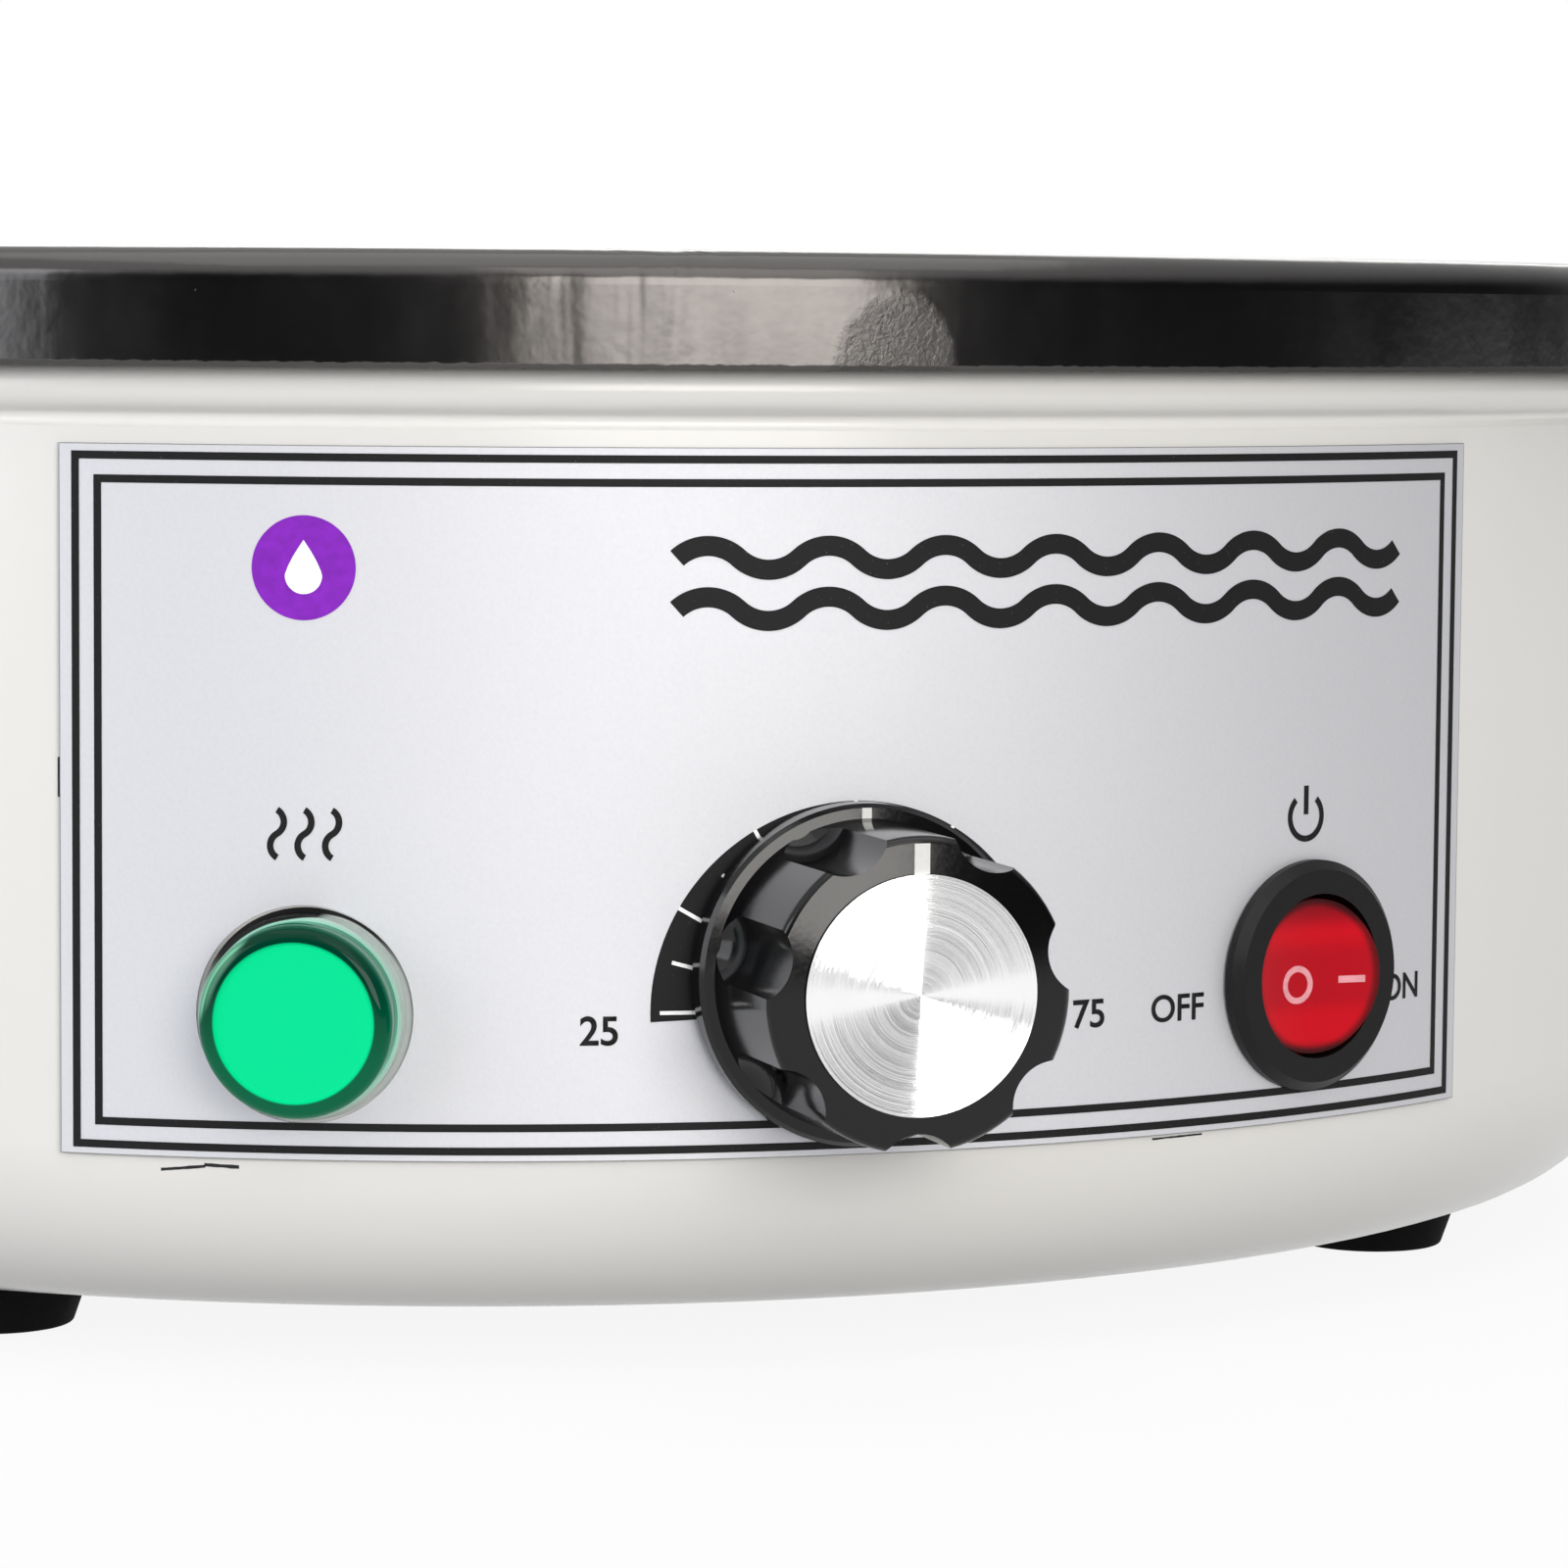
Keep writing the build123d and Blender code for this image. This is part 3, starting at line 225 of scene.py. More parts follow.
def endFinish(material, shade, layers, settings, tone, others=None):
    # the dulling layers move the roughness up and down about its mean, and the marring ones add to it
    dulling = settings["dulling"]
    mean = settings["roughness"] - sum(dulling.values()) / 2
    inputs = {
        "Base Color": tone,
        "Roughness": weighed(layers, {**dulling, **settings.get("marring", {})}) + mean,
        "IOR": settings["bend"],
        **(others or {}),
    }
    if "heights" in settings:
        inputs["Normal"] = bump(shade, weighed(layers, settings["heights"]), settings["relief"])
    surface = shade.node("ShaderNodeBsdfPrincipled", None, inputs)
    shade.node("ShaderNodeOutputMaterial", None, {"Surface": surface})
    return material


# World, floor and lamps

studioSettings = {
    # strength of the plain light from in front and from behind, and where it turns
    "fillFront": 0.33,
    "fillBack": 0.95,
    "fillTurn": (0.0, 0.6),
    "fillColor": (0.96, 0.98, 1.0),
    # what shiny parts see: low, high and behind, and the share of it left at the right
    "mirrorLow": 0.012,
    "mirrorHigh": 1.2,
    "mirrorRise": (0.25, 0.7),
    "mirrorBack": 1.0,
    "mirrorTurn": (0.0, 0.8),
    "mirrorRight": 0.5,
    "mirrorAcross": (0.1, 0.9),
    "floorWidth": 8.0,
    "floorColor": (0.34, 0.34, 0.34),
    "floorSeen": (0.86, 0.86, 0.86),
    "layers": {"mottle": {"scale": 3.0}},
    "mottling": {"mottle": 0.04},
    # the floor as shiny parts see it, close by and far in front, with metres along the room
    "floorNear": 1.0,
    "floorFar": 0.02,
    "floorDim": (-1.0, -0.5),
    # how white the camera sees it near the bath, and the metres out where it reaches full white
    "floorWhite": 0.9,
    "floorWhiten": (0.5, 2.2),
}


def rayKinds(shade):
    # 1 for rays straight from the camera, and 1 for those that shiny or clear parts send on
    fromCamera = shade.node("ShaderNodeLightPath", output="Is Camera Ray")
    glossy = shade.node("ShaderNodeLightPath", output="Is Glossy Ray")
    through = shade.node("ShaderNodeLightPath", output="Is Transmission Ray")
    return fromCamera, shade.sum("MAXIMUM", glossy, through)


def background(shade, color, strength=1.0):
    return shade.node("ShaderNodeBackground", None, {"Color": color, "Strength": strength})


def lightWorld(settings):
    world = bpy.data.worlds.new("studio")
    bpy.context.scene.world = world
    world.use_nodes = True
    world.node_tree.nodes.clear()
    shade = Shade(world.node_tree)
    fromCamera, shiny = rayKinds(shade)
    across, along, up = parts(shade, shade.node("ShaderNodeTexCoord", output="Generated"))
    low, high, back = ([settings[key]] * 3 for key in ("mirrorLow", "mirrorHigh", "mirrorBack"))
    room = up.fade(*settings["mirrorRise"]).mix(low, high)
    room = along.fade(*settings["mirrorTurn"]).mix(room, back)
    dim = across.fade(*settings["mirrorAcross"]) * (1 - settings["mirrorRight"])
    mirror = background(shade, dim.mix(room, low))
    gain = settings["fillBack"] - settings["fillFront"]
    strength = along.fade(*settings["fillTurn"]) * gain + settings["fillFront"]
    fill = background(shade, settings["fillColor"], strength)
    white = background(shade, (1, 1, 1))
    seen = fromCamera.blend(shiny.blend(fill, mirror), white)
    shade.node("ShaderNodeOutputWorld", None, {"Surface": seen})


def layFloor(settings):
    bpy.ops.mesh.primitive_plane_add(size=settings["floorWidth"], location=(0, 0, 0))
    floor = bpy.context.object
    floor.name = "studio_floor"
    material, shade, layers = startFinish("pale_floor", settings)
    place = objectPlace(shade)
    across, along = parts(shade, place, "XY")
    fromCamera, shiny = rayKinds(shade)
    tone = fromCamera.mix(settings["floorColor"], settings["floorSeen"])
    tone = weighed(layers, settings["mottling"]).mix(tone, (0, 0, 0))
    paper = shade.node("ShaderNodeBsdfDiffuse", None, {"Color": tone})
    # shiny parts see the floor bright close by and dark far in front
    gain = settings["floorNear"] - settings["floorFar"]
    shine = along.fade(*settings["floorDim"]) * gain + settings["floorFar"]
    shine = shade.sum("MAXIMUM", shine, fromCamera)
    glow = shade.node("ShaderNodeEmission", None, {"Color": (1, 1, 1), "Strength": shine})
    # the paper fades into the white room with distance, and is clear from below
    far = shade.sum("SQRT", across * across + along * along).fade(*settings["floorWhiten"])
    white = fromCamera * (far * (1 - settings["floorWhite"]) + settings["floorWhite"])
    sheet = shade.sum("MAXIMUM", white, shiny).blend(paper, glow)
    clear = shade.node("ShaderNodeBsdfTransparent", None, {"Color": (1, 1, 1)})
    below = shade.node("ShaderNodeNewGeometry", output="Backfacing") * fromCamera
    shade.node("ShaderNodeOutputMaterial", None, {"Surface": below.blend(sheet, clear)})
    floor.data.materials.append(material)


# Each lamp is a soft rectangle: middle, size, the point it faces, power and colour
lampSettings = {
    "front_softbox": {
        "middle": (0.066, -1.135, 0.29),
        "size": (0.576, 0.46),
        "aim": (0.066, -0.1, 0.29),
        "power": 6.7,
        "color": (1.0, 0.97, 0.93),
    },
    "brow_strip": {
        "middle": (0.066, -0.95, 0.78),
        "size": (0.576, 0.6),
        "aim": (0, -0.13, 0.1),
        "power": 1.7,
        "color": (1.0, 0.98, 0.95),
    },
    "left_softbox": {
        "middle": (-1.42, -0.5, 0.45),
        "size": (0.9, 1.0),
        "aim": (0, 0, 0.1),
        "power": 9.5,
        "color": (0.92, 0.95, 1.0),
    },
    "top_softbox": {
        "middle": (0.0, -0.2, 1.3),
        "size": (1.4, 1.2),
        "aim": (0, 0, 0),
        "power": 4.0,
        "color": (1.0, 1.0, 1.0),
    },
    "rear_softbox": {
        "middle": (0.5, 1.5, 0.9),
        "size": (1.2, 0.8),
        "aim": (0, 0, 0.1),
        "power": 6.0,
        "color": (1.0, 0.99, 0.97),
    },
}


def hangLamp(name, settings):
    data = bpy.data.lights.new(name, "AREA")
    data.shape = "RECTANGLE"
    data.size, data.size_y = settings["size"]
    data.energy = settings["power"]
    data.color = settings["color"]
    lamp = bpy.data.objects.new(name, data)
    lamp.location = settings["middle"]
    facing = Vector(settings["aim"]) - Vector(settings["middle"])
    lamp.rotation_euler = facing.to_track_quat("-Z", "Y").to_euler()
    lamp.visible_camera = False
    bpy.context.scene.collection.objects.link(lamp)


lightWorld(studioSettings)
layFloor(studioSettings)
for lampName, lampValues in lampSettings.items():
    hangLamp(lampName, lampValues)
print("Studio lit")


# Finishes


def middleOf(low, high):
    return (low + high) / 2


def headings(turn):
    # out of the wall and along it to the right, at that turn from the front
    return Vector((math.sin(turn), -math.cos(turn), 0)), Vector((math.cos(turn), math.sin(turn), 0))


labelLow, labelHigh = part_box("front_label")
labelRadius = -labelLow.y
knobMiddle = middleOf(*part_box("knob_cap"))
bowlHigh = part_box("bowl")[1]
rimRadius = bowlHigh.x
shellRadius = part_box("body_shell")[1].x
lensLow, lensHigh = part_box("lamp_lens")
lensMiddle = middleOf(lensLow, lensHigh)
lampTurn = math.atan2(lensMiddle.x, -lensMiddle.y)
lampAxis, lampSide = headings(lampTurn)
rockerMiddle = middleOf(*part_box("switch_rocker"))
switchTurn = math.radians(22.3)
switchAxis, switchSide = headings(switchTurn)


def wallTurn(shade, place):
    # radians round the wall from the front, rising to the right
    across, along = parts(shade, place, "XY")
    return shade.sum("ARCTAN2", across, along * -1)


def knobReach(shade, place):
    # metres out from the knob's axis: sideways, upwards and in all
    across, up = parts(shade, place, "XZ")
    side, rise = across - knobMiddle.x, up - knobMiddle.z
    return side, rise, shade.sum("SQRT", side * side + rise * rise + tiny)


def lampReach(shade, place):
    # millimetres out from the pilot lamp's axis
    offset = shade.vector("SUBTRACT", place, lensMiddle)
    ahead = shade.vector("DOT_PRODUCT", offset, lampAxis, output="Value")
    length = shade.vector("DOT_PRODUCT", offset, offset, output="Value")
    return shade.sum("SQRT", length - ahead * ahead + tiny) / mm


def lampLean(shade, place, degrees):
    # millimetres from the pilot lamp's axis along one direction, anticlockwise from its right
    turn = math.radians(degrees)
    heading = lampSide * math.cos(turn) + Vector((0, 0, math.sin(turn)))
    offset = shade.vector("SUBTRACT", place, lensMiddle)
    return shade.vector("DOT_PRODUCT", offset, heading, output="Value") / mm


# painted shadow in the gap between the pilot lamp's collar and the label, drawn as a black crescent
# directions are degrees anticlockwise from the lamp's right, and the rest millimetres
gapShadowSettings = {
    "color": (0.008, 0.008, 0.009),
    "inner": 9.2,
    "edge": 0.12,
    "thinWay": 30,
    "thinFrom": (3.0, 8.5),
    "thinBy": 0.5,
    "middleWay": 97,
    "ends": (2.5, 7.0),
}


def gapShadowBand(shade, place, reach, settings):
    # painted shadow: a black crescent in the gap over the lamp, widest at the upper left and thinned
    # to a line at the right
    thin = lampLean(shade, place, settings["thinWay"]).fade(*settings["thinFrom"])
    outside = reach - (thin * settings["thinBy"] + settings["inner"])
    over = lampLean(shade, place, settings["middleWay"]).fade(*settings["ends"])
    return over * outside.fade(0.0, settings["edge"])


lacquerSettings = {
    "color": (0.004, 0.004, 0.0045),
    "dust": (0.35, 0.34, 0.33),
    "sheen": (1.0, 0.955, 0.93),
    "bend": 1.74,
    "roughness": 0.17,
    "relief": 0.03,
    "layers": {
        "waves": {"scale": 70.0, "detail": 1.0, "stretch": (1, 1, 0.35)},
        "runs": {"scale": 210.0, "rough": 0.45, "warp": 0.4, "stretch": (1, 1, 0.14)},
        "peel": {"scale": 520.0},
        "smear": {"scale": 110.0, "detail": 4.0, "rough": 0.6, "stretch": (1, 1, 0.5)},
        "crumbs": {"scale": 900.0},
        "ragged": {"scale": 400.0},
        "blister": {"scale": 1500.0, "detail": 3.0, "rough": 0.6, "warp": 0.6},
        "dusty": {"scale": 45.0},
    },
    "heights": {"waves": 6.0, "runs": 1.0, "frontRuns": 15.0, "peel": 0.55, "blister": 2.0},
    "dulling": {"smear": 0.16},
    "marring": {"patch": 0.16, "speck": 0.3, "crust": 0.5},
    "dusting": {"speck": 0.6, "patch": 0.03},
    # in rim radii: where the front runs are, how far they reach, and where the blister may start
    "runMiddle": -0.13,
    "runReach": 0.1,
    "patchFront": 0.9,
    # the blister's middle and size, and how ragged its edge is
    "patchMiddle": (2.3, 96.9),
    "patchSize": (5.9, 6.4),
    "patchRagged": 0.5,
    "patchEdge": (1.5, 0.95),
    # the dull crust starts this far under the rim's top, with crumbs along its edge
    "skirt": 11.1,
    "crumbs": 0.4,
    "crustEdge": (0.15, 0.35),
    "speckCells": 260.0,
    "speckSize": 0.035,
    "speckAreas": (0.62, 0.64),
}


def blackLacquer(settings):
    # hard black coating: waves, runs down the front, fine peel, stray dust and one blister
    material, shade, layers = startFinish("black_lacquer", settings)
    place = objectPlace(shade)
    across, along, up = parts(shade, place)
    aside = (across / rimRadius - settings["runMiddle"]).size()
    inFront = (1 - aside.fade(0.0, settings["runReach"])) * (along < 0.0)
    layers["frontRuns"] = layers["runs"] * inFront
    # the lower edge is crusted dull, with crumbs of dried coating along it
    above = (up - bowlHigh.z) / mm + settings["skirt"] - layers["crumbs"] * settings["crumbs"]
    layers["crust"] = 1 - above.fade(*settings["crustEdge"])
    middle, size = settings["patchMiddle"], settings["patchSize"]
    sideways = (across / mm - middle[0]) / size[0]
    upwards = (up / mm - middle[1]) / size[1]
    far = sideways * sideways + upwards * upwards + layers["ragged"] * settings["patchRagged"]
    patch = far.fade(*settings["patchEdge"]) * (along < -rimRadius * settings["patchFront"])
    layers["patch"] = patch
    layers["blister"] = layers["blister"] * patch
    specks = cells(shade, place, settings["speckCells"], "Distance") < settings["speckSize"]
    layers["speck"] = specks * layers["dusty"].fade(*settings["speckAreas"])
    tone = shaded(layers, settings["dusting"], settings["color"], settings["dust"])
    others = {"Specular Tint": settings["sheen"]}
    return endFinish(material, shade, layers, settings, tone, others)


enamelSettings = {
    "color": (0.78, 0.775, 0.76),
    "aged": (0.72, 0.70, 0.66),
    "ageing": {"slow": 0.35},
    "scratch": (0.008, 0.008, 0.009),
    # the shell inside the gap round the lamp's hole: painted dim grey out to this radius, under the
    # painted shadow
    "gapTone": (0.5, 0.53, 0.52),
    "gapRadius": 10.08,
    "bend": 1.38,
    "coat": 0.45,
    "coatRoughness": 0.2,
    "roughness": 0.325,
    "relief": 0.03,
    "layers": {
        "slow": {"scale": 14.0},
        "peel": {"scale": 380.0},
        "fine": {"scale": 1600.0},
        "ragged": {"scale": 900.0},
    },
    "heights": {"peel": 0.35, "fine": 0.06, "mark": -2.0},
    "dulling": {"slow": 0.08, "fine": 0.05},
    "marring": {"mark": 0.3},
    "scratchRagged": 0.12,
    # each scratch: degrees round from the front, height, half length, half width, slope
    "scratches": (
        (-27.3, 20.7, 2.2, 0.14, 0.10),
        (-25.7, 21.0, 1.7, 0.17, -0.04),
        (15.3, 21.42, 3.1, 0.10, 0.01),
        (-32.5, 57.4, 0.16, 1.9, 0.0),
    ),
}


def whiteEnamel(settings):
    # baked white paint on steel: faint peel, slow yellowing and a few old scratches through it
    material, shade, layers = startFinish("white_enamel", settings)
    place = objectPlace(shade)
    along, up = parts(shade, place, "YZ")
    turn = wallTurn(shade, place)
    wobble = (layers["ragged"] - 0.5) * settings["scratchRagged"]
    mark = 0.0
    for degrees, height, half, width, slope in settings["scratches"]:
        off = (turn - math.radians(degrees)) * (shellRadius / mm)
        drift = (up / mm - height - off * slope).size()
        mark = shade.sum("MAXIMUM", mark, (off.size() < half) * (drift + wobble < width))
    layers["mark"] = mark
    # inside the gap round the lamp's hole the shell is painted dim grey, with painted black shadow at
    # its upper left only
    reach = lampReach(shade, place)
    inGap = (reach < settings["gapRadius"]) * (along < 0.0)
    band = gapShadowBand(shade, place, reach, gapShadowSettings)
    gapTone = band.mix(settings["gapTone"], gapShadowSettings["color"])
    tone = shaded(layers, settings["ageing"], settings["color"], settings["aged"])
    tone = inGap.mix(mark.mix(tone, settings["scratch"]), gapTone)
    others = {
        "Coat Weight": (1 - mark) * (1 - inGap) * settings["coat"],
        "Coat Roughness": settings["coatRoughness"],
    }
    return endFinish(material, shade, layers, settings, tone, others)


filmSettings = {
    "color": (0.68, 0.685, 0.72),
    "clouded": (0.52, 0.53, 0.56),
    "edge": (0.12, 0.12, 0.12),
    "edgeWidth": 0.12,
    "metallic": 0.62,
    "bend": 1.5,
    "roughness": 0.625,
    "relief": 0.02,
    "layers": {"glitter": {"scale": 2600.0}, "cloud": {"scale": 25.0}},
    "clouding": {"glitter": 0.22, "cloud": 0.1},
    "dulling": {"glitter": 0.12, "cloud": 0.05},
    "heights": {"glitter": 0.12, "cloud": 2.0},
}


def silverFilm(settings):
    # printed satin film: fine silver grain, with its cut edge dark
    material, shade, layers = startFinish("silver_film", settings)
    place = objectPlace(shade)
    up = parts(shade, place, "Z")[0]
    halfTurn = math.asin(labelHigh.x / labelRadius)
    sideEdge = (halfTurn - wallTurn(shade, place).size()) * (labelRadius / mm)
    lowEdge = (up - labelLow.z) / mm
    highEdge = (labelHigh.z - up) / mm
    nearest = shade.sum("MINIMUM", shade.sum("MINIMUM", lowEdge, highEdge), sideEdge)
    edge = 1 - nearest.fade(0.0, settings["edgeWidth"])
    tone = shaded(layers, settings["clouding"], settings["color"], settings["clouded"])
    tone = edge.mix(tone, settings["edge"])
    others = {"Metallic": (1 - edge) * settings["metallic"]}
    return endFinish(material, shade, layers, settings, tone, others)


capSettings = {
    "color": (0.97, 0.97, 0.97),
    "worn": (0.92, 0.92, 0.925),
    "layers": {"wear": {"scale": 300.0, "detail": 3.0}},
    "dulling": {"wear": 0.03},
    "roughness": 0.085,
    "bend": 1.5,
    "grooves": 220.0,  # in each millimetre
    "seeds": (0.0, 0.37),
    "tilt": 0.36,
}


def spunAluminium(settings):
    # turned grooves round the knob's axis tilt the surface in and out, so its shine makes wedges
    material, shade, layers = startFinish("spun_aluminium", settings)
    place = objectPlace(shade)
    side, rise, reach = knobReach(shade, place)
    groove = shade.sum("FLOOR", reach * (settings["grooves"] / mm))
    # two random values for each groove, so that most of them tilt only a little
    one, other = (
        shade.node("ShaderNodeTexWhiteNoise", {"noise_dimensions": "1D"}, {"W": groove + seed})
        for seed in settings["seeds"]
    )
    tilt = (one + other - 1.0) * settings["tilt"]
    outward = {"X": side / reach * tilt, "Y": 0.0, "Z": rise / reach * tilt}
    turned = shade.node(
        "ShaderNodeVectorTransform",
        {"vector_type": "VECTOR", "convert_from": "OBJECT", "convert_to": "WORLD"},
        {0: shade.node("ShaderNodeCombineXYZ", None, outward)},
    )
    facing = shade.node("ShaderNodeNewGeometry", output="Normal")
    normal = shade.vector("NORMALIZE", shade.vector("ADD", facing, turned))
    tone = layers["wear"].mix(settings["color"], settings["worn"])
    others = {"Metallic": 1.0, "Normal": normal}
    return endFinish(material, shade, layers, settings, tone, others)


mouldedSettings = {
    "layers": {"slow": {"scale": 60.0}},
    "textureDetail": 3.0,
    "shading": {"slow": 0.6, "texture": 0.4},
    "darker": 0.75,
    "dulling": {"slow": 0.1, "texture": 0.12},
    "relief": 0.03,
}


def moulded(name, color, roughness, grain=900.0, depth=0.3, bend=1.45, cone=0.0):
    # moulded plastic: colour a little uneven, fine sparked texture, handling shine in patches
    heights = {"texture": depth}
    settings = {**mouldedSettings, "roughness": roughness, "bend": bend, "heights": heights}
    material, shade, layers = startFinish(name, settings)
    place = objectPlace(shade)
    layers["texture"] = noise(shade, place, grain, settings["textureDetail"])
    if cone:
        # faces across the knob's axis lean outward by the cone's degrees
        layers["lean"] = knobReach(shade, place)[2] / (settings["relief"] * mm)
        heights["lean"] = -math.tan(math.radians(cone))
    tone = shaded(layers, settings["shading"], color, toned(color, settings["darker"]))
    return endFinish(material, shade, layers, settings, tone)


platedSettings = {
    "layers": {
        "lines": {"scale": 300.0, "stretch": (1, 1, 12)},
        "dull": {"scale": 120.0, "detail": 4.0},
    },
    "spots": (0.55, 0.75),
    "shading": {"crystal": 0.3, "dull": 0.5},
    "darker": 0.62,
    "dulling": {"crystal": 0.1, "lines": 0.12},
    "marring": {"dull": 0.2},
    "bend": 1.5,
    "heights": {"lines": 1.0, "crystal": 0.5},
    "relief": 0.008,
}


def plated(name, color, roughness, spangle=400.0):
    # metal with crystal spangle, fine draw lines and dull spots
    settings = {**platedSettings, "roughness": roughness}
    material, shade, layers = startFinish(name, settings)
    place = objectPlace(shade)
    layers["crystal"] = parts(shade, cells(shade, place, spangle, "Color"), "X")[0]
    layers["dull"] = layers["dull"].fade(*settings["spots"])
    tone = shaded(layers, settings["shading"], color, toned(color, settings["darker"]))
    return endFinish(material, shade, layers, settings, tone, {"Metallic": 1.0})


rubberSettings = {
    "layers": {
        "grain": {"scale": 1400.0, "detail": 3.0},
        "bloom": {"scale": 180.0, "detail": 4.0},
    },
    "patches": (0.45, 0.8),
    "shading": {"bloom": 0.5},
    "paler": 1.5,
    "dulling": {"grain": 0.15, "bloom": 0.1},
    "bend": 1.2,
    "heights": {"grain": 1.0},
    "relief": 0.02,
}


def rubbery(name, color, roughness, bloomed=0.03):
    # rubber: dusty bloom over a fine grain
    settings = {**rubberSettings, "roughness": roughness}
    material, shade, layers = startFinish(name, settings)
    layers["bloom"] = layers["bloom"].fade(*settings["patches"])
    tone = shaded(layers, settings["shading"], color, toned(color, settings["paler"], bloomed))
    return endFinish(material, shade, layers, settings, tone)


tangled = {"scale": 260.0, "detail": 4.0, "rough": 0.7, "warp": 2.5}
feltSettings = {
    "color": (0.74, 0.71, 0.62),
    "layers": {
        "strands": {**tangled, "stretch": (1, 6, 1)},
        "crossing": {**tangled, "stretch": (6, 1, 1)},
        "clump": {"scale": 70.0, "detail": 3.0},
    },
    "shading": {"tangle": 0.8, "clump": 0.2},
    "darker": 0.7,
    "dulling": {"tangle": 0.1},
    "roughness": 0.9,
    "bend": 1.5,
    "heights": {"tangle": 1.0, "clump": 2.0},
    "relief": 0.3,
}


def felted(name, settings):
    # pressed fibre: long tangled strands over clumps
    material, shade, layers = startFinish(name, settings)
    layers["tangle"] = shade.sum("MAXIMUM", layers["strands"], layers["crossing"])
    dark = toned(settings["color"], settings["darker"])
    tone = shaded(layers, settings["shading"], dark, settings["color"])
    return endFinish(material, shade, layers, settings, tone)


glassSettings = {
    "layers": {"film": {"scale": 350.0, "detail": 3.0}},
    "darker": 0.92,
    "dulling": {"film": 0.06},
    "roughness": 0.04,
    "bend": 1.5,
    "heights": {"film": 1.0},
    "relief": 0.005,
}


def clearGlass(name, color):
    # thin glass with a faint film of dust
    settings = glassSettings
    material, shade, layers = startFinish(name, settings)
    tone = layers["film"].mix(color, toned(color, settings["darker"]))
    return endFinish(material, shade, layers, settings, tone, {"Transmission Weight": 1.0})


braidSettings = {
    "color": (0.78, 0.75, 0.68),
    "yarns": 5200.0,
    "gaps": (-0.2, 1.0),
    "layers": {"soil": {"scale": 90.0, "detail": 3.0}},
    "soiled": (0.5, 0.8),
    "shading": {"gap": 0.7, "soil": 0.3},
    "darker": 0.6,
    "dulling": {"gap": 0.15},
    "roughness": 0.675,
    "bend": 1.5,
    "heights": {"gap": -1.0},
    "relief": 0.08,
}


def braided(name, settings):
    # woven glass sleeve: two crossing sets of yarns, darker in the gaps between them, and soiled in
    # patches
    material, shade, layers = startFinish(name, settings)
    place = objectPlace(shade)
    across, along, up = parts(shade, place)
    layers["soil"] = layers["soil"].fade(*settings["soiled"])
    leftYarn = shade.sum("SINE", (across + along + up) * settings["yarns"])
    rightYarn = shade.sum("SINE", (across - along + up) * settings["yarns"])
    layers["gap"] = 1 - shade.sum("MAXIMUM", leftYarn, rightYarn).fade(*settings["gaps"])
    dark = toned(settings["color"], settings["darker"])
    tone = shaded(layers, settings["shading"], settings["color"], dark)
    return endFinish(material, shade, layers, settings, tone)


lensFinish = {
    "face": (0.0, 0.37, 0.14),
    "faceGlow": (0.0, 0.40, 0.17),
    "edge": (0.0, 0.012, 0.006),
    "edgeHigh": (0.0, 0.034, 0.018),
    "edgeLow": (0.0, 0.115, 0.05),
    # pale green of the painted highlight on the lens edge
    "highlightColor": (0.3, 0.85, 0.55),
    "lipGlow": (0.0, 0.12, 0.065),
    "faceRadius": 7.5,
    # millimetres out from the face: its edge, the lip, and the soft and the bright parts of the
    # painted highlight
    "faceEdge": (-0.1, 0.15),
    "lip": (1.2, 1.65),
    "highlightFade": (0.3, 0.8),
    "lineMiddle": 1.2,
    "lineWidth": (0.06, 0.2),
    # the painted highlight: its soft and bright parts, how uneven it is, its direction and where it
    # ends
    "highlightParts": {"soft": 0.4, "line": 0.6},
    "highlightUneven": (0.6, 0.4),
    "highlightWay": 150,
    "highlightEnds": (7.4, 8.3),
    "fallWay": 90,
    "fall": (5.0, -5.0),
    "layers": {"uneven": {"scale": 120.0}},
    "dulling": {"uneven": 0.04},
    "marring": {"face": 0.25},
    "roughness": 0.06,
    "bend": 1.2,
    "heights": {"uneven": 1.0},
    "relief": 0.01,
}


def glowLens(settings):
    # one green moulding: a flat face that scatters the lamp, and a deep rounded edge round it
    material, shade, layers = startFinish("green_lens", settings)
    place = objectPlace(shade)
    out = lampReach(shade, place) - settings["faceRadius"]
    face = 1 - out.fade(*settings["faceEdge"])
    layers["face"] = face
    # painted highlight on the edge: a soft pale glow at the upper left with a bright line outside it
    layers["soft"] = out.fade(*settings["highlightFade"])
    layers["line"] = 1 - (out - settings["lineMiddle"]).size().fade(*settings["lineWidth"])
    ends = lampLean(shade, place, settings["highlightWay"]).fade(*settings["highlightEnds"])
    share, least = settings["highlightUneven"]
    paintedHighlight = ends * weighed(layers, settings["highlightParts"]) * (layers["uneven"] * share + least)
    low = lampLean(shade, place, settings["fallWay"]).fade(*settings["fall"])
    glow = low.mix(settings["edgeHigh"], settings["edgeLow"])
    glow = out.fade(*settings["lip"]).mix(glow, settings["lipGlow"])
    glow = paintedHighlight.mix(glow, settings["highlightColor"])
    tone = face.mix(settings["edge"], settings["face"])
    others = {"Emission Color": face.mix(glow, settings["faceGlow"]), "Emission Strength": 1.0}
    return endFinish(material, shade, layers, settings, tone, others)


collarFinish = {
    "near": (0.33, 0.8, 0.62),
    "away": (0.6, 0.66, 0.64),
    "hazed": (0.3, 0.36, 0.34),
    "greenReach": (8.9, 9.7),
    "layers": {"haze": {"scale": 700.0, "detail": 3.0}},
    "hazing": {"haze": 0.15},
    "dulling": {"haze": 0.1},
    "roughness": 0.2,
    "bend": 1.4,
    "heights": {"haze": 1.0},
    "relief": 0.006,
}


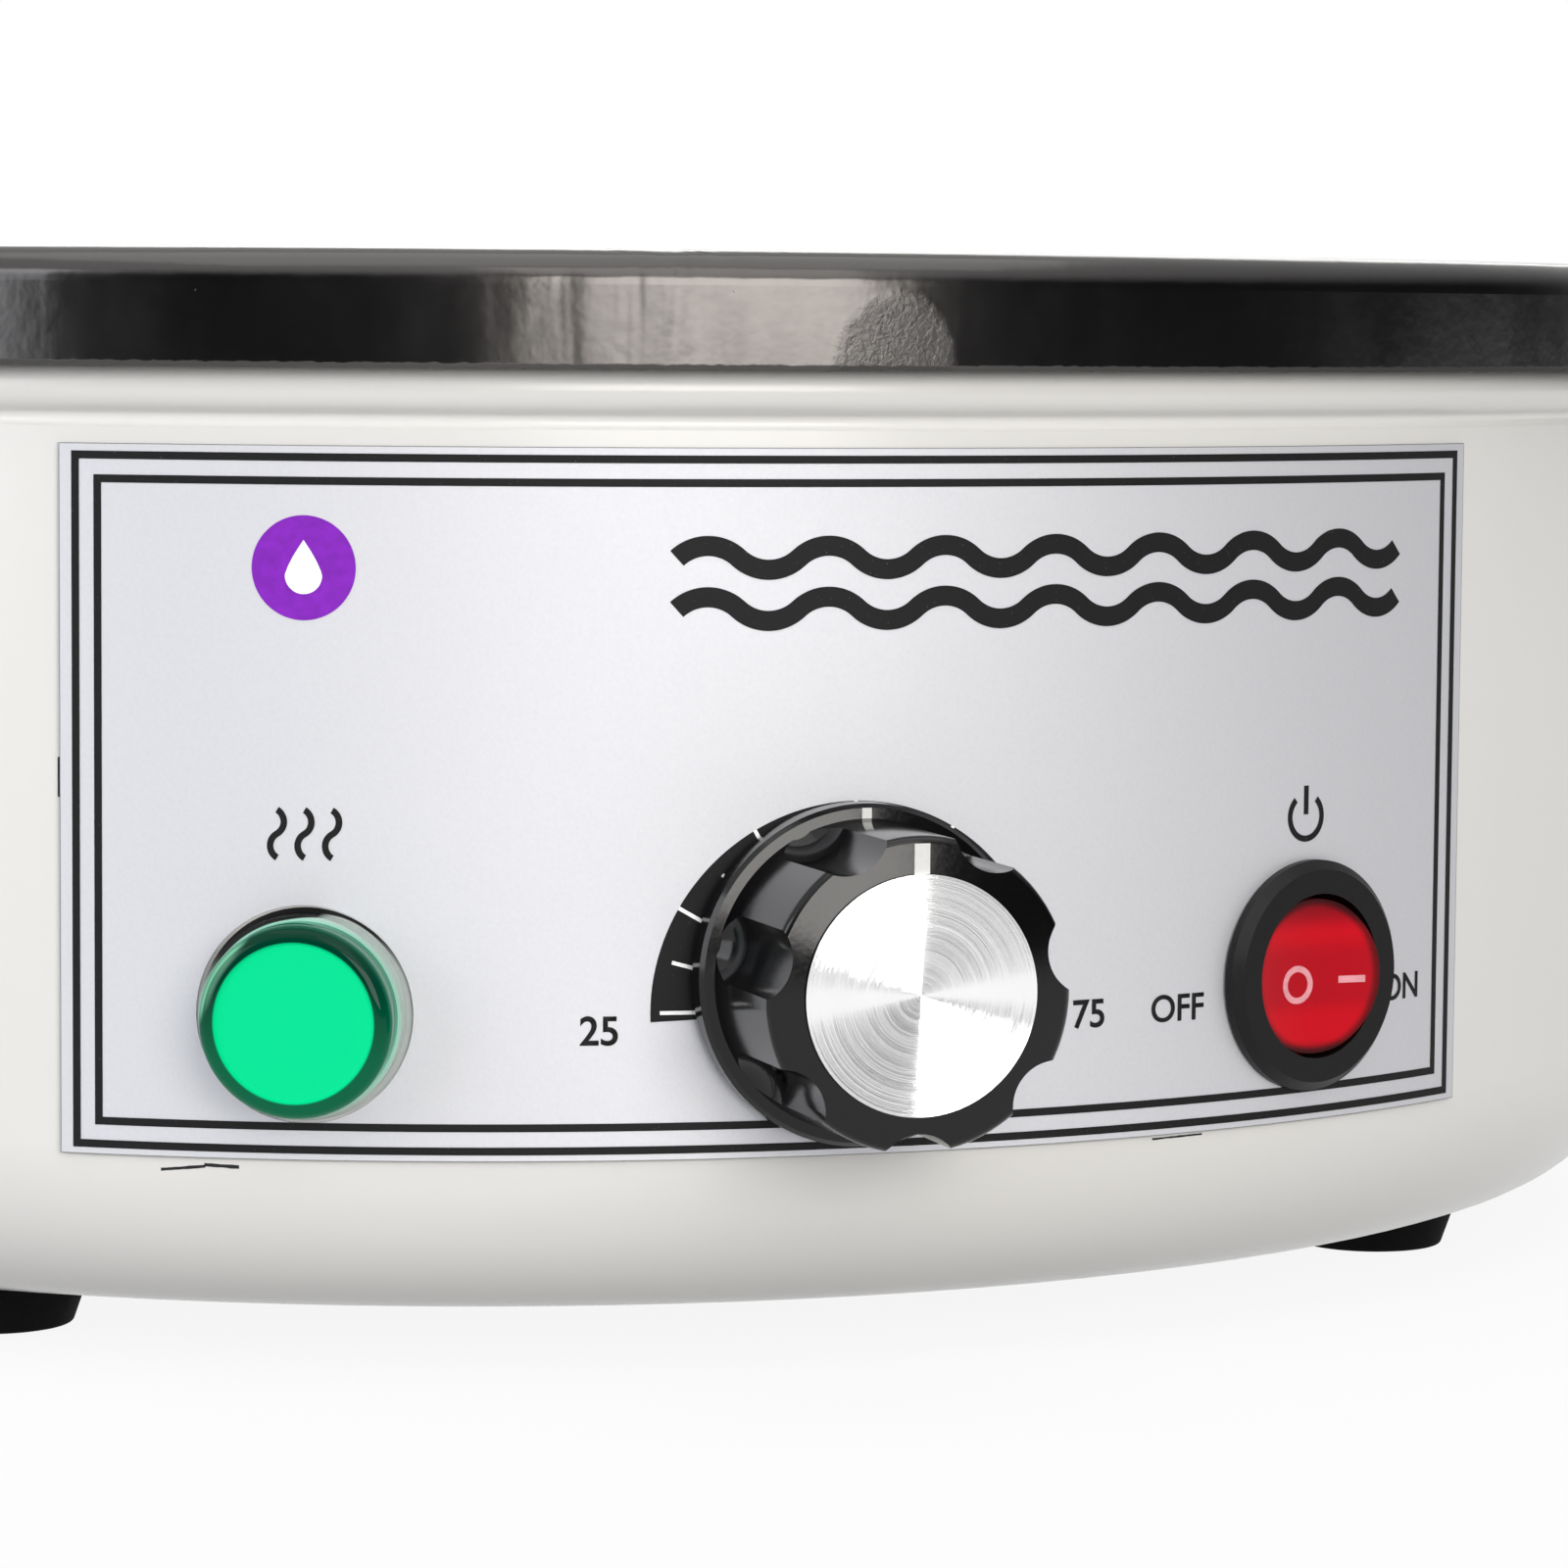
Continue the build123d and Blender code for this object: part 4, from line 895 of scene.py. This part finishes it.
def paleCollar(settings):
    # clear milky moulding that takes up the lens's green close to it
    material, shade, layers = startFinish("pale_collar", settings)
    place = objectPlace(shade)
    reach = lampReach(shade, place)
    # painted shadow: the black crescent of the gap over the lamp also covers the collar's edge there
    collarShadow = gapShadowBand(shade, place, reach, gapShadowSettings)
    tone = reach.fade(*settings["greenReach"]).mix(settings["near"], settings["away"])
    tone = weighed(layers, settings["hazing"]).mix(tone, settings["hazed"])
    tone = collarShadow.mix(tone, gapShadowSettings["color"])
    return endFinish(material, shade, layers, settings, tone)


rockerSettings = {
    "color": (0.48, 0.001, 0.008),
    # darker red for the middle band, uneven tone and painted shade; near black for the deepest
    # painted shade, round the edge
    "deep": (0.2, 0.0, 0.006),
    "rim": (0.03, 0.0, 0.001),
    # painted glow: the red that the face gives off, and its dimmer colour where painted shade falls
    "glow": (0.15, 0.0, 0.003),
    "shadedGlow": (0.01, 0.0, 0.0005),
    # millimetres from the rocker's middle: the bar, and shade at the top, the foot and all round
    "bar": (1.9, 4.3),
    "topShade": (4.2, 7.0),
    "lowShade": (-6.2, -7.6),
    "edgeShade": (6.7, 7.7),
    "shadeMiddle": 0.5,
    "layers": {"uneven": {"scale": 150.0, "detail": 3.0}},
    "deepening": {"bar": 0.3, "shade": 0.7, "uneven": 0.1},
    "edgeShadeWeights": {"edge": 0.75, "shade": 0.3},
    "glowShadeWeights": {"bar": 0.4, "shade": 0.6, "edge": 1.0},
    "dulling": {"uneven": 0.12},
    "roughness": 0.22,
    "bend": 1.25,
    "heights": {"uneven": 1.0},
    "relief": 0.01,
}


def redRocker(settings):
    # clear red cap, darker across its middle, with painted shade at its top, foot and edge and a
    # painted red glow that the shade dims
    material, shade, layers = startFinish("red_rocker", settings)
    place = objectPlace(shade)
    across, up = parts(shade, place, "XZ")
    rise = (up - rockerMiddle.z) / mm
    side = (across - rockerMiddle.x) / (mm * math.cos(switchTurn)) - settings["shadeMiddle"]
    reach = shade.sum("SQRT", side * side + rise * rise)
    layers["edge"] = reach.fade(*settings["edgeShade"])
    layers["bar"] = 1 - rise.size().fade(*settings["bar"])
    layers["shade"] = rise.fade(*settings["topShade"]) + rise.fade(*settings["lowShade"])
    tone = shaded(layers, settings["deepening"], settings["color"], settings["deep"])
    tone = weighed(layers, settings["edgeShadeWeights"]).mix(tone, settings["rim"])
    # painted glow, dimmed at the middle band and where painted shade falls
    glow = shaded(layers, settings["glowShadeWeights"], settings["glow"], settings["shadedGlow"])
    others = {"Emission Color": glow, "Emission Strength": 1.0}
    return endFinish(material, shade, layers, settings, tone, others)


inkFinish = {
    "layers": {"pin": {"scale": 5200.0, "detail": 1.0}, "thick": {"scale": 900.0}},
    "paler": 1.7,
    "lift": 0.002,
    "pinEdge": (0.74, 0.8),
    "pinShare": 0.15,
    "dulling": {"thick": 0.15},
    "roughness": 0.595,
    "bend": 1.3,
    "heights": {"thick": 1.0},
    "relief": 0.006,
}


def printedInk(name, color, under=(0.6, 0.61, 0.64)):
    # screen ink: satin, with pin holes where what lies under it shows through
    settings = inkFinish
    material, shade, layers = startFinish(name, settings)
    pale = toned(color, settings["paler"], settings["lift"])
    pin = layers["pin"].fade(*settings["pinEdge"]) * settings["pinShare"]
    tone = pin.mix(layers["thick"].mix(color, pale), under)
    return endFinish(material, shade, layers, settings, tone)


finishes = {
    "bowl_black": blackLacquer(lacquerSettings),
    "shell_white": whiteEnamel(enamelSettings),
    "label_silver": silverFilm(filmSettings),
    "cap_spun": spunAluminium(capSettings),
    "lens_green": glowLens(lensFinish),
    "rocker_red": redRocker(rockerSettings),
    "base_black": moulded("satin_black_enamel", (0.02, 0.02, 0.021), 0.45, grain=700.0, depth=0.5),
    "foot_rubber": rubbery("foot_rubber", (0.002, 0.002, 0.002), 0.875, bloomed=0.003),
    "gasket_silicone": rubbery("seal_silicone", (0.62, 0.6, 0.56), 0.575),
    "zinc_steel": plated("zinc_plate", (0.62, 0.63, 0.65), 0.33),
    "plate_steel": plated("mill_steel", (0.5, 0.51, 0.52), 0.41, spangle=90.0),
    "heater_mat": rubbery("heater_silicone", (0.5, 0.14, 0.045), 0.625),
    "insulation_wool": felted("pressed_wool", feltSettings),
    "knob_black": moulded(
        "polished_black", (0.004, 0.004, 0.0045), 0.13, grain=2400.0, depth=0.12, bend=1.4, cone=9.0
    ),
    "mark_white": moulded("white_filling", (0.82, 0.82, 0.8), 0.45, grain=2400.0),
    "grub_steel": plated("blacked_steel", (0.1, 0.1, 0.11), 0.37),
    "turned_brass": plated("turned_brass", (0.72, 0.53, 0.24), 0.29, spangle=900.0),
    "thermostat_case": moulded("case_resin", (0.6, 0.57, 0.48), 0.5),
    "tab_plated": plated("tinned_tab", (0.7, 0.66, 0.56), 0.31, spangle=1200.0),
    "copper_tube": plated("drawn_copper", (0.75, 0.36, 0.22), 0.29, spangle=700.0),
    "collar_pale": paleCollar(collarFinish),
    "lamp_white": moulded("lamp_nylon", (0.7, 0.7, 0.67), 0.42),
    "lamp_glass": clearGlass("bulb_glass", (0.95, 0.86, 0.78)),
    "switch_black": moulded(
        "switch_resin", (0.006, 0.0055, 0.006), 0.36, grain=1500.0, depth=0.5, bend=1.3
    ),
    "inlet_black": moulded("inlet_resin", (0.022, 0.022, 0.024), 0.42, grain=1300.0, depth=0.6),
    "pin_plated": plated("nickel_pin", (0.74, 0.71, 0.65), 0.24, spangle=1500.0),
    "fuse_glass": clearGlass("fuse_tube_glass", (0.93, 0.97, 0.96)),
    "fuse_metal": plated("fuse_cap_metal", (0.8, 0.8, 0.8), 0.19, spangle=2000.0),
    "block_ivory": moulded("block_nylon", (0.76, 0.71, 0.58), 0.45),
    "lead_brown": rubbery("brown_sheath", (0.16, 0.05, 0.02), 0.475),
    "lead_earth": rubbery("earth_sheath", (0.18, 0.42, 0.04), 0.475),
    "lead_black": rubbery("black_sheath", (0.02, 0.02, 0.02), 0.475),
    "lead_white": braided("glass_sleeve", braidSettings),
    "lead_blue": rubbery("blue_sheath", (0.02, 0.1, 0.42), 0.475),
}
blackInk = printedInk("black_ink", (0.004, 0.004, 0.0045))
violetInk = printedInk("violet_ink", (0.17, 0.012, 0.36), under=(0.3, 0.1, 0.5))
whiteInk = printedInk("white_ink", (0.8, 0.8, 0.8), under=(0.7, 0.7, 0.7))
markInk = printedInk("pale_mark_ink", (0.6, 0.26, 0.29), under=(0.7, 0.06, 0.07))

for nodeName, node in nodes.items():
    for slot in node.material_slots:
        slot.material = finishes[slotOf[nodeName]]
print("Finishes on", len(nodes), "nodes")


# Modelling helpers


def deselectAll():
    if bpy.context.object and bpy.context.object.mode != "OBJECT":
        bpy.ops.object.mode_set(mode="OBJECT")
    bpy.ops.object.select_all(action="DESELECT")


def pick(piece):
    deselectAll()
    piece.select_set(True)
    bpy.context.view_layer.objects.active = piece


def settle(piece):
    # the piece's place goes into its mesh
    pick(piece)
    bpy.ops.object.transform_apply(location=True, rotation=True, scale=True)
    return piece


def editPoints(piece, test):
    # edit mode with only the points that pass picked out
    pick(piece)
    for item in (*piece.data.polygons, *piece.data.edges):
        item.select = False
    for point in piece.data.vertices:
        point.select = test(point.co)
    bpy.ops.object.mode_set(mode="EDIT")
    bpy.ops.mesh.select_mode(type="VERT")


def editAll(piece):
    editPoints(piece, lambda point: True)
    bpy.ops.mesh.select_all(action="SELECT")


def endEdit():
    bpy.ops.object.mode_set(mode="OBJECT")


def divide(piece, cuts):
    editAll(piece)
    bpy.ops.mesh.subdivide(number_cuts=cuts)
    endEdit()


def joined(pieces, name):
    deselectAll()
    for piece in pieces:
        piece.select_set(True)
    bpy.context.view_layer.objects.active = pieces[0]
    if len(pieces) > 1:
        bpy.ops.object.join()
    pieces[0].name = pieces[0].data.name = name
    return pieces[0]


def applyModifier(piece, kind, **settings):
    pick(piece)
    modifier = piece.modifiers.new(kind.lower(), kind)
    for key, value in settings.items():
        setattr(modifier, key, value)
    bpy.ops.object.modifier_apply(modifier=modifier.name)


def fixNormals(piece):
    editAll(piece)
    bpy.ops.mesh.remove_doubles(threshold=1e-7)
    bpy.ops.mesh.normals_make_consistent(inside=False)
    endEdit()


def dress(piece, name, body, material):
    piece.name = piece.data.name = name
    piece.data.materials.clear()
    piece.data.materials.append(material)
    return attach(piece, body)


# Flat shapes, drawn upright in the XZ plane and facing -Y, in millimetres


def stand(piece, middle, spin=0.0):
    piece.rotation_euler = (math.pi / 2, 0, 0)
    piece.rotation_euler.rotate_axis("Z", math.radians(spin))
    piece.location = (middle[0] * mm, 0, middle[1] * mm)
    return settle(piece)


def arcBand(middle, inner, outer, start, end, steps=144):
    # part of a ring, from start to end in degrees anticlockwise from +X
    bpy.ops.mesh.primitive_circle_add(vertices=steps, radius=inner * mm)
    piece = bpy.context.object
    slack = math.pi / steps / 2
    first, last = math.radians(start) - slack, math.radians(end) + slack

    def outside(point):
        angle = math.atan2(point.y, point.x) % math.tau
        return not any(first < angle + turn < last for turn in (-math.tau, 0, math.tau))

    if end - start < 360:
        editPoints(piece, outside)
        bpy.ops.mesh.delete(type="VERT")
        endEdit()
    editAll(piece)
    bpy.ops.mesh.extrude_region_move()
    grow = outer / inner
    bpy.ops.transform.resize(value=(grow, grow, 1), center_override=(0, 0, 0))
    endEdit()
    return stand(piece, middle)


def lineBand(middle, radius, line, start, end):
    # the same as a line of that width along an arc of that radius
    return arcBand(middle, radius - line / 2, radius + line / 2, start, end)


def bar(middle, width, height, spin=0.0, cuts=(1, 1)):
    bpy.ops.mesh.primitive_grid_add(x_subdivisions=cuts[0], y_subdivisions=cuts[1], size=1)
    piece = bpy.context.object
    piece.scale = (width * mm, height * mm, 1)
    return stand(settle(piece), middle, spin)


def disc(middle, radius, steps=72):
    bpy.ops.mesh.primitive_circle_add(vertices=steps, radius=radius * mm, fill_type="TRIFAN")
    return stand(bpy.context.object, middle)


letterSettings = {"capShare": 0.7}  # a capital's height as a share of the font size


def lettering(words, middle, height, weight):
    bpy.ops.object.text_add()
    piece = bpy.context.object
    piece.data.body = words
    piece.data.align_x = "CENTER"
    piece.data.align_y = "CENTER"
    piece.data.size = height * mm / letterSettings["capShare"]
    piece.data.offset = weight * mm
    pick(piece)
    bpy.ops.object.convert(target="MESH")
    return stand(bpy.context.object, middle)


inkSettings = {"gauge": 0.03, "lift": 0.03}


def printOnLabel(pieces, name, material, layer=1):
    # ink: a thin slab, bent round the label and laid just over it
    piece = joined(pieces, name)
    applyModifier(piece, "SOLIDIFY", thickness=inkSettings["gauge"] * mm, offset=0)
    piece.location.y = -layer * inkSettings["lift"] * mm
    settle(piece)
    angle = piece.dimensions.x / labelRadius
    applyModifier(piece, "SIMPLE_DEFORM", deform_method="BEND", deform_axis="Z", angle=angle)
    piece.location.y = -labelRadius
    settle(piece)
    fixNormals(piece)
    return dress(piece, name, "base", material)


# Label print

borderSettings = {
    "reach": 74.4,
    "low": 22.8,
    "high": 87.8,
    "insets": {"border_outer": 0.0, "border_inner": 2.2},
    "line": 0.75,
    "cuts": 80,
}


def borderLine(settings, inset):
    reach = settings["reach"] - inset
    low, high = settings["low"] + inset, settings["high"] - inset
    line = settings["line"]
    width, height = 2 * reach + line, high - low - line
    made = [bar((0, level), width, line, cuts=(settings["cuts"], 1)) for level in (low, high)]
    made += [bar((side * reach, (low + high) / 2), line, height) for side in (-1, 1)]
    return made


for borderName, borderInset in borderSettings["insets"].items():
    printOnLabel(borderLine(borderSettings, borderInset), borderName, blackInk)

dialSettings = {
    "middle": (0, 35.8),
    "inner": 14.9,
    "outer": 19.8,
    "droop": 2.6,
    "ticks": 13,
    "tickWidth": 0.36,
    "shortTick": (14.9, 18.4),
    "endTick": (15.5, 18.9),
    "numbers": (("25", -24.6, 34.0), ("75", 24.9, 34.1)),
    "numberHeight": 2.7,
    "numberWeight": 0.06,
}


def printDial(settings):
    middle, ticks = settings["middle"], settings["ticks"]
    inner, outer = settings["inner"], settings["outer"]
    band = arcBand(middle, inner, outer, -settings["droop"], 180 + settings["droop"])
    divide(band, 2)
    printOnLabel([band], "dial_band", blackInk)
    made = []
    for index in range(ticks):
        # long and short ticks take turns, and the two at the ends stop short of the band's edges
        turn = 180 * index / (ticks - 1)
        near, far = settings["shortTick"] if index % 2 else (inner, outer)
        if index in (0, ticks - 1):
            near, far = settings["endTick"]
        reach = (near + far) / 2
        across = middle[0] + reach * math.cos(math.radians(turn))
        up = middle[1] + reach * math.sin(math.radians(turn))
        made.append(bar((across, up), far - near, settings["tickWidth"], turn, (6, 1)))
    printOnLabel(made, "dial_ticks", whiteInk, 2)
    for words, across, up in settings["numbers"]:
        number = lettering(words, (across, up), settings["numberHeight"], settings["numberWeight"])
        printOnLabel([number], "dial_number_" + words, blackInk)


printDial(dialSettings)

switchSettings = {
    "words": {"OFF": (35.3, 34.1), "ON": (66.6, 34.0)},
    "height": 2.6,
    "weight": 0.05,
}


def printSwitchWords(settings):
    for words, middle in settings["words"].items():
        made = lettering(words, middle, settings["height"], settings["weight"])
        printOnLabel([made], "switch_word_" + words, blackInk)


printSwitchWords(switchSettings)

signSettings = {
    "line": 0.62,
    "heatMiddle": (-52.3, 52.6),
    "heatRadius": 1.3,
    "heatPitch": 2.6,
    "heatBow": 60,
    "powerMiddle": (51.7, 52.2),
    "powerRadius": 2.2,
    "powerRing": (130, 410),
    # the stroke's middle and length, in radii of the ring
    "strokeRise": 0.75,
    "strokeLength": 1.3,
}


def printSigns(settings):
    across, up = settings["heatMiddle"]
    line, radius, bow = settings["line"], settings["heatRadius"], settings["heatBow"]
    rise = radius * math.sin(math.radians(bow))
    offset = radius * math.cos(math.radians(bow))
    waves = []
    for column in (-1, 0, 1):
        left = across + column * settings["heatPitch"]
        waves.append(lineBand((left - offset, up + rise), radius, line, -bow, bow))
        waves.append(lineBand((left + offset, up - rise), radius, line, 180 - bow, 180 + bow))
    printOnLabel(waves, "heat_sign", blackInk)
    across, up = settings["powerMiddle"]
    radius = settings["powerRadius"]
    ring = lineBand((across, up), radius, line, *settings["powerRing"])
    height = up + radius * settings["strokeRise"]
    stroke = bar((across, height), line, radius * settings["strokeLength"])
    printOnLabel([ring, stroke], "power_sign", blackInk)


printSigns(signSettings)

# each row of waves has its height and the width of its line
waveSettings = {
    "start": -17.5,
    "end": 64.5,
    "waves": 7,
    "rows": ((78.6, 1.9), (73.8, 1.9)),
    "bow": 42.0,
}


def printWaves(settings):
    # plain water waves: arcs up and down in turn
    chord = (settings["end"] - settings["start"]) / settings["waves"] / 2
    bow = settings["bow"]
    radius = chord / 2 / math.sin(math.radians(bow))
    sink = radius * math.cos(math.radians(bow))
    for row, (up, line) in enumerate(settings["rows"]):
        arcs = []
        for index in range(2 * settings["waves"]):
            across = settings["start"] + (index + 0.5) * chord
            side = -1 if index % 2 else 1
            middle = (across, up - side * sink)
            arcs.append(lineBand(middle, radius, line, 90 * side - bow, 90 * side + bow))
        printOnLabel(arcs, f"water_waves_{row + 1}", blackInk)


printWaves(waveSettings)

badgeSettings = {
    "middle": (-52.4, 77.5),
    "radius": 4.9,
    "dropRadius": 1.75,
    "dropSink": 0.7,
    "dropTip": 3.3,
    # powers that shape the drop's upper half, along it and across it
    "tipCurve": 0.9,
    "neckCurve": 0.45,
}


def printBadge(settings):
    across, up = settings["middle"]
    printOnLabel([disc((across, up), settings["radius"])], "badge_disc", violetInk)
    low = up - settings["dropSink"]
    drop = disc((across, low), settings["dropRadius"], steps=48)
    for point in drop.data.vertices:
        rise = (point.co.z / mm - low) / settings["dropRadius"]
        if rise > 0:
            # the upper half is drawn up to a tip
            left = max(1 - rise, 0)
            point.co.z = (low + settings["dropTip"] * (1 - left ** settings["tipCurve"])) * mm
            point.co.x = across * mm + (point.co.x - across * mm) * left ** settings["neckCurve"]
    printOnLabel([drop], "badge_drop", whiteInk, 2)


printBadge(badgeSettings)
print("Label printed")


# Pilot lamp lens: one moulding with a rounded edge and a sunken flat face

lensSettings = {
    "edgeRound": 1.5,
    "roundSteps": 10,
    "leastFlat": 0.1,
    "faceSink": 0.35,
    "sinkWall": 0.2,
    "faceRing": 2.0,
    "smoothUpTo": 40,
    "steps": 96,
}


def spanAlong(node, axis):
    reaches = [point.co.dot(axis) for point in node.data.vertices]
    return min(reaches), max(reaches)


def makeLens(settings):
    back, front = spanAlong(nodes["lamp_lens"], lampAxis)
    radius = (lensHigh.z - lensLow.z) / 2
    depth = front - back
    bpy.ops.mesh.primitive_cylinder_add(vertices=settings["steps"], radius=radius, depth=depth)
    lens = bpy.context.object
    top = depth / 2 - 0.001 * mm
    editPoints(lens, lambda point: point.z > top)
    bpy.ops.mesh.select_mode(type="EDGE")
    edgeRound = settings["edgeRound"] * mm
    bpy.ops.mesh.bevel(
        offset=edgeRound, segments=settings["roundSteps"], profile=0.5, affect="EDGES"
    )
    endEdit()
    inner = radius - edgeRound
    editPoints(lens, lambda point: point.z > top and point.xy.length < inner + 0.01 * mm)
    bpy.ops.mesh.select_mode(type="FACE")
    flat = max(inner - lensFinish["faceRadius"] * mm, settings["leastFlat"] * mm)
    bpy.ops.mesh.inset(thickness=flat)
    bpy.ops.mesh.inset(thickness=settings["sinkWall"] * mm, depth=-settings["faceSink"] * mm)
    bpy.ops.mesh.inset(thickness=settings["faceRing"] * mm)
    endEdit()
    lens.rotation_euler = (math.pi / 2, 0, lampTurn)
    lens.location = lampAxis * ((back + front) / 2) + lampSide * lensMiddle.dot(lampSide)
    lens.location.z = lensMiddle.z
    settle(lens)
    fixNormals(lens)
    pick(lens)
    bpy.ops.object.shade_smooth_by_angle(angle=math.radians(settings["smoothUpTo"]))
    dress(lens, "lamp_lens_moulding", "base", finishes["lens_green"])
    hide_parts("lamp_lens")


makeLens(lensSettings)
print("Lens made")


# Marks on the rocker, laid on its face and riding with it

rockerMarks = {
    "ring": (-2.5, -0.75),
    "ringRadii": (1.28, 1.9),
    "dash": (3.75, -0.45),
    "dashSize": (2.8, 0.7),
    "heldOut": 20.0,
}


def markRocker(settings):
    ring = arcBand(settings["ring"], *settings["ringRadii"], 0, 360, steps=64)
    dash = bar(settings["dash"], *settings["dashSize"], cuts=(12, 3))
    aside, ahead = rockerMiddle.dot(switchSide), rockerMiddle.dot(switchAxis)
    for piece, name in ((ring, "rocker_ring"), (dash, "rocker_dash")):
        divide(piece, 1)
        # held out in front of the switch, then pressed straight back on to the rocker
        piece.rotation_euler = (0, 0, switchTurn)
        piece.location = switchSide * aside + switchAxis * (ahead + settings["heldOut"] * mm)
        piece.location.z = rockerMiddle.z
        applyModifier(
            piece,
            "SHRINKWRAP",
            target=nodes["switch_rocker"],
            wrap_method="PROJECT",
            use_project_y=True,
            use_positive_direction=True,
            wrap_mode="ABOVE_SURFACE",
            offset=inkSettings["lift"] * mm,
        )
        settle(piece)
        applyModifier(piece, "SOLIDIFY", thickness=inkSettings["gauge"] * mm, offset=0)
        fixNormals(piece)
        dress(piece, name, "rocker", markInk)


markRocker(rockerMarks)
print("Rocker marked")
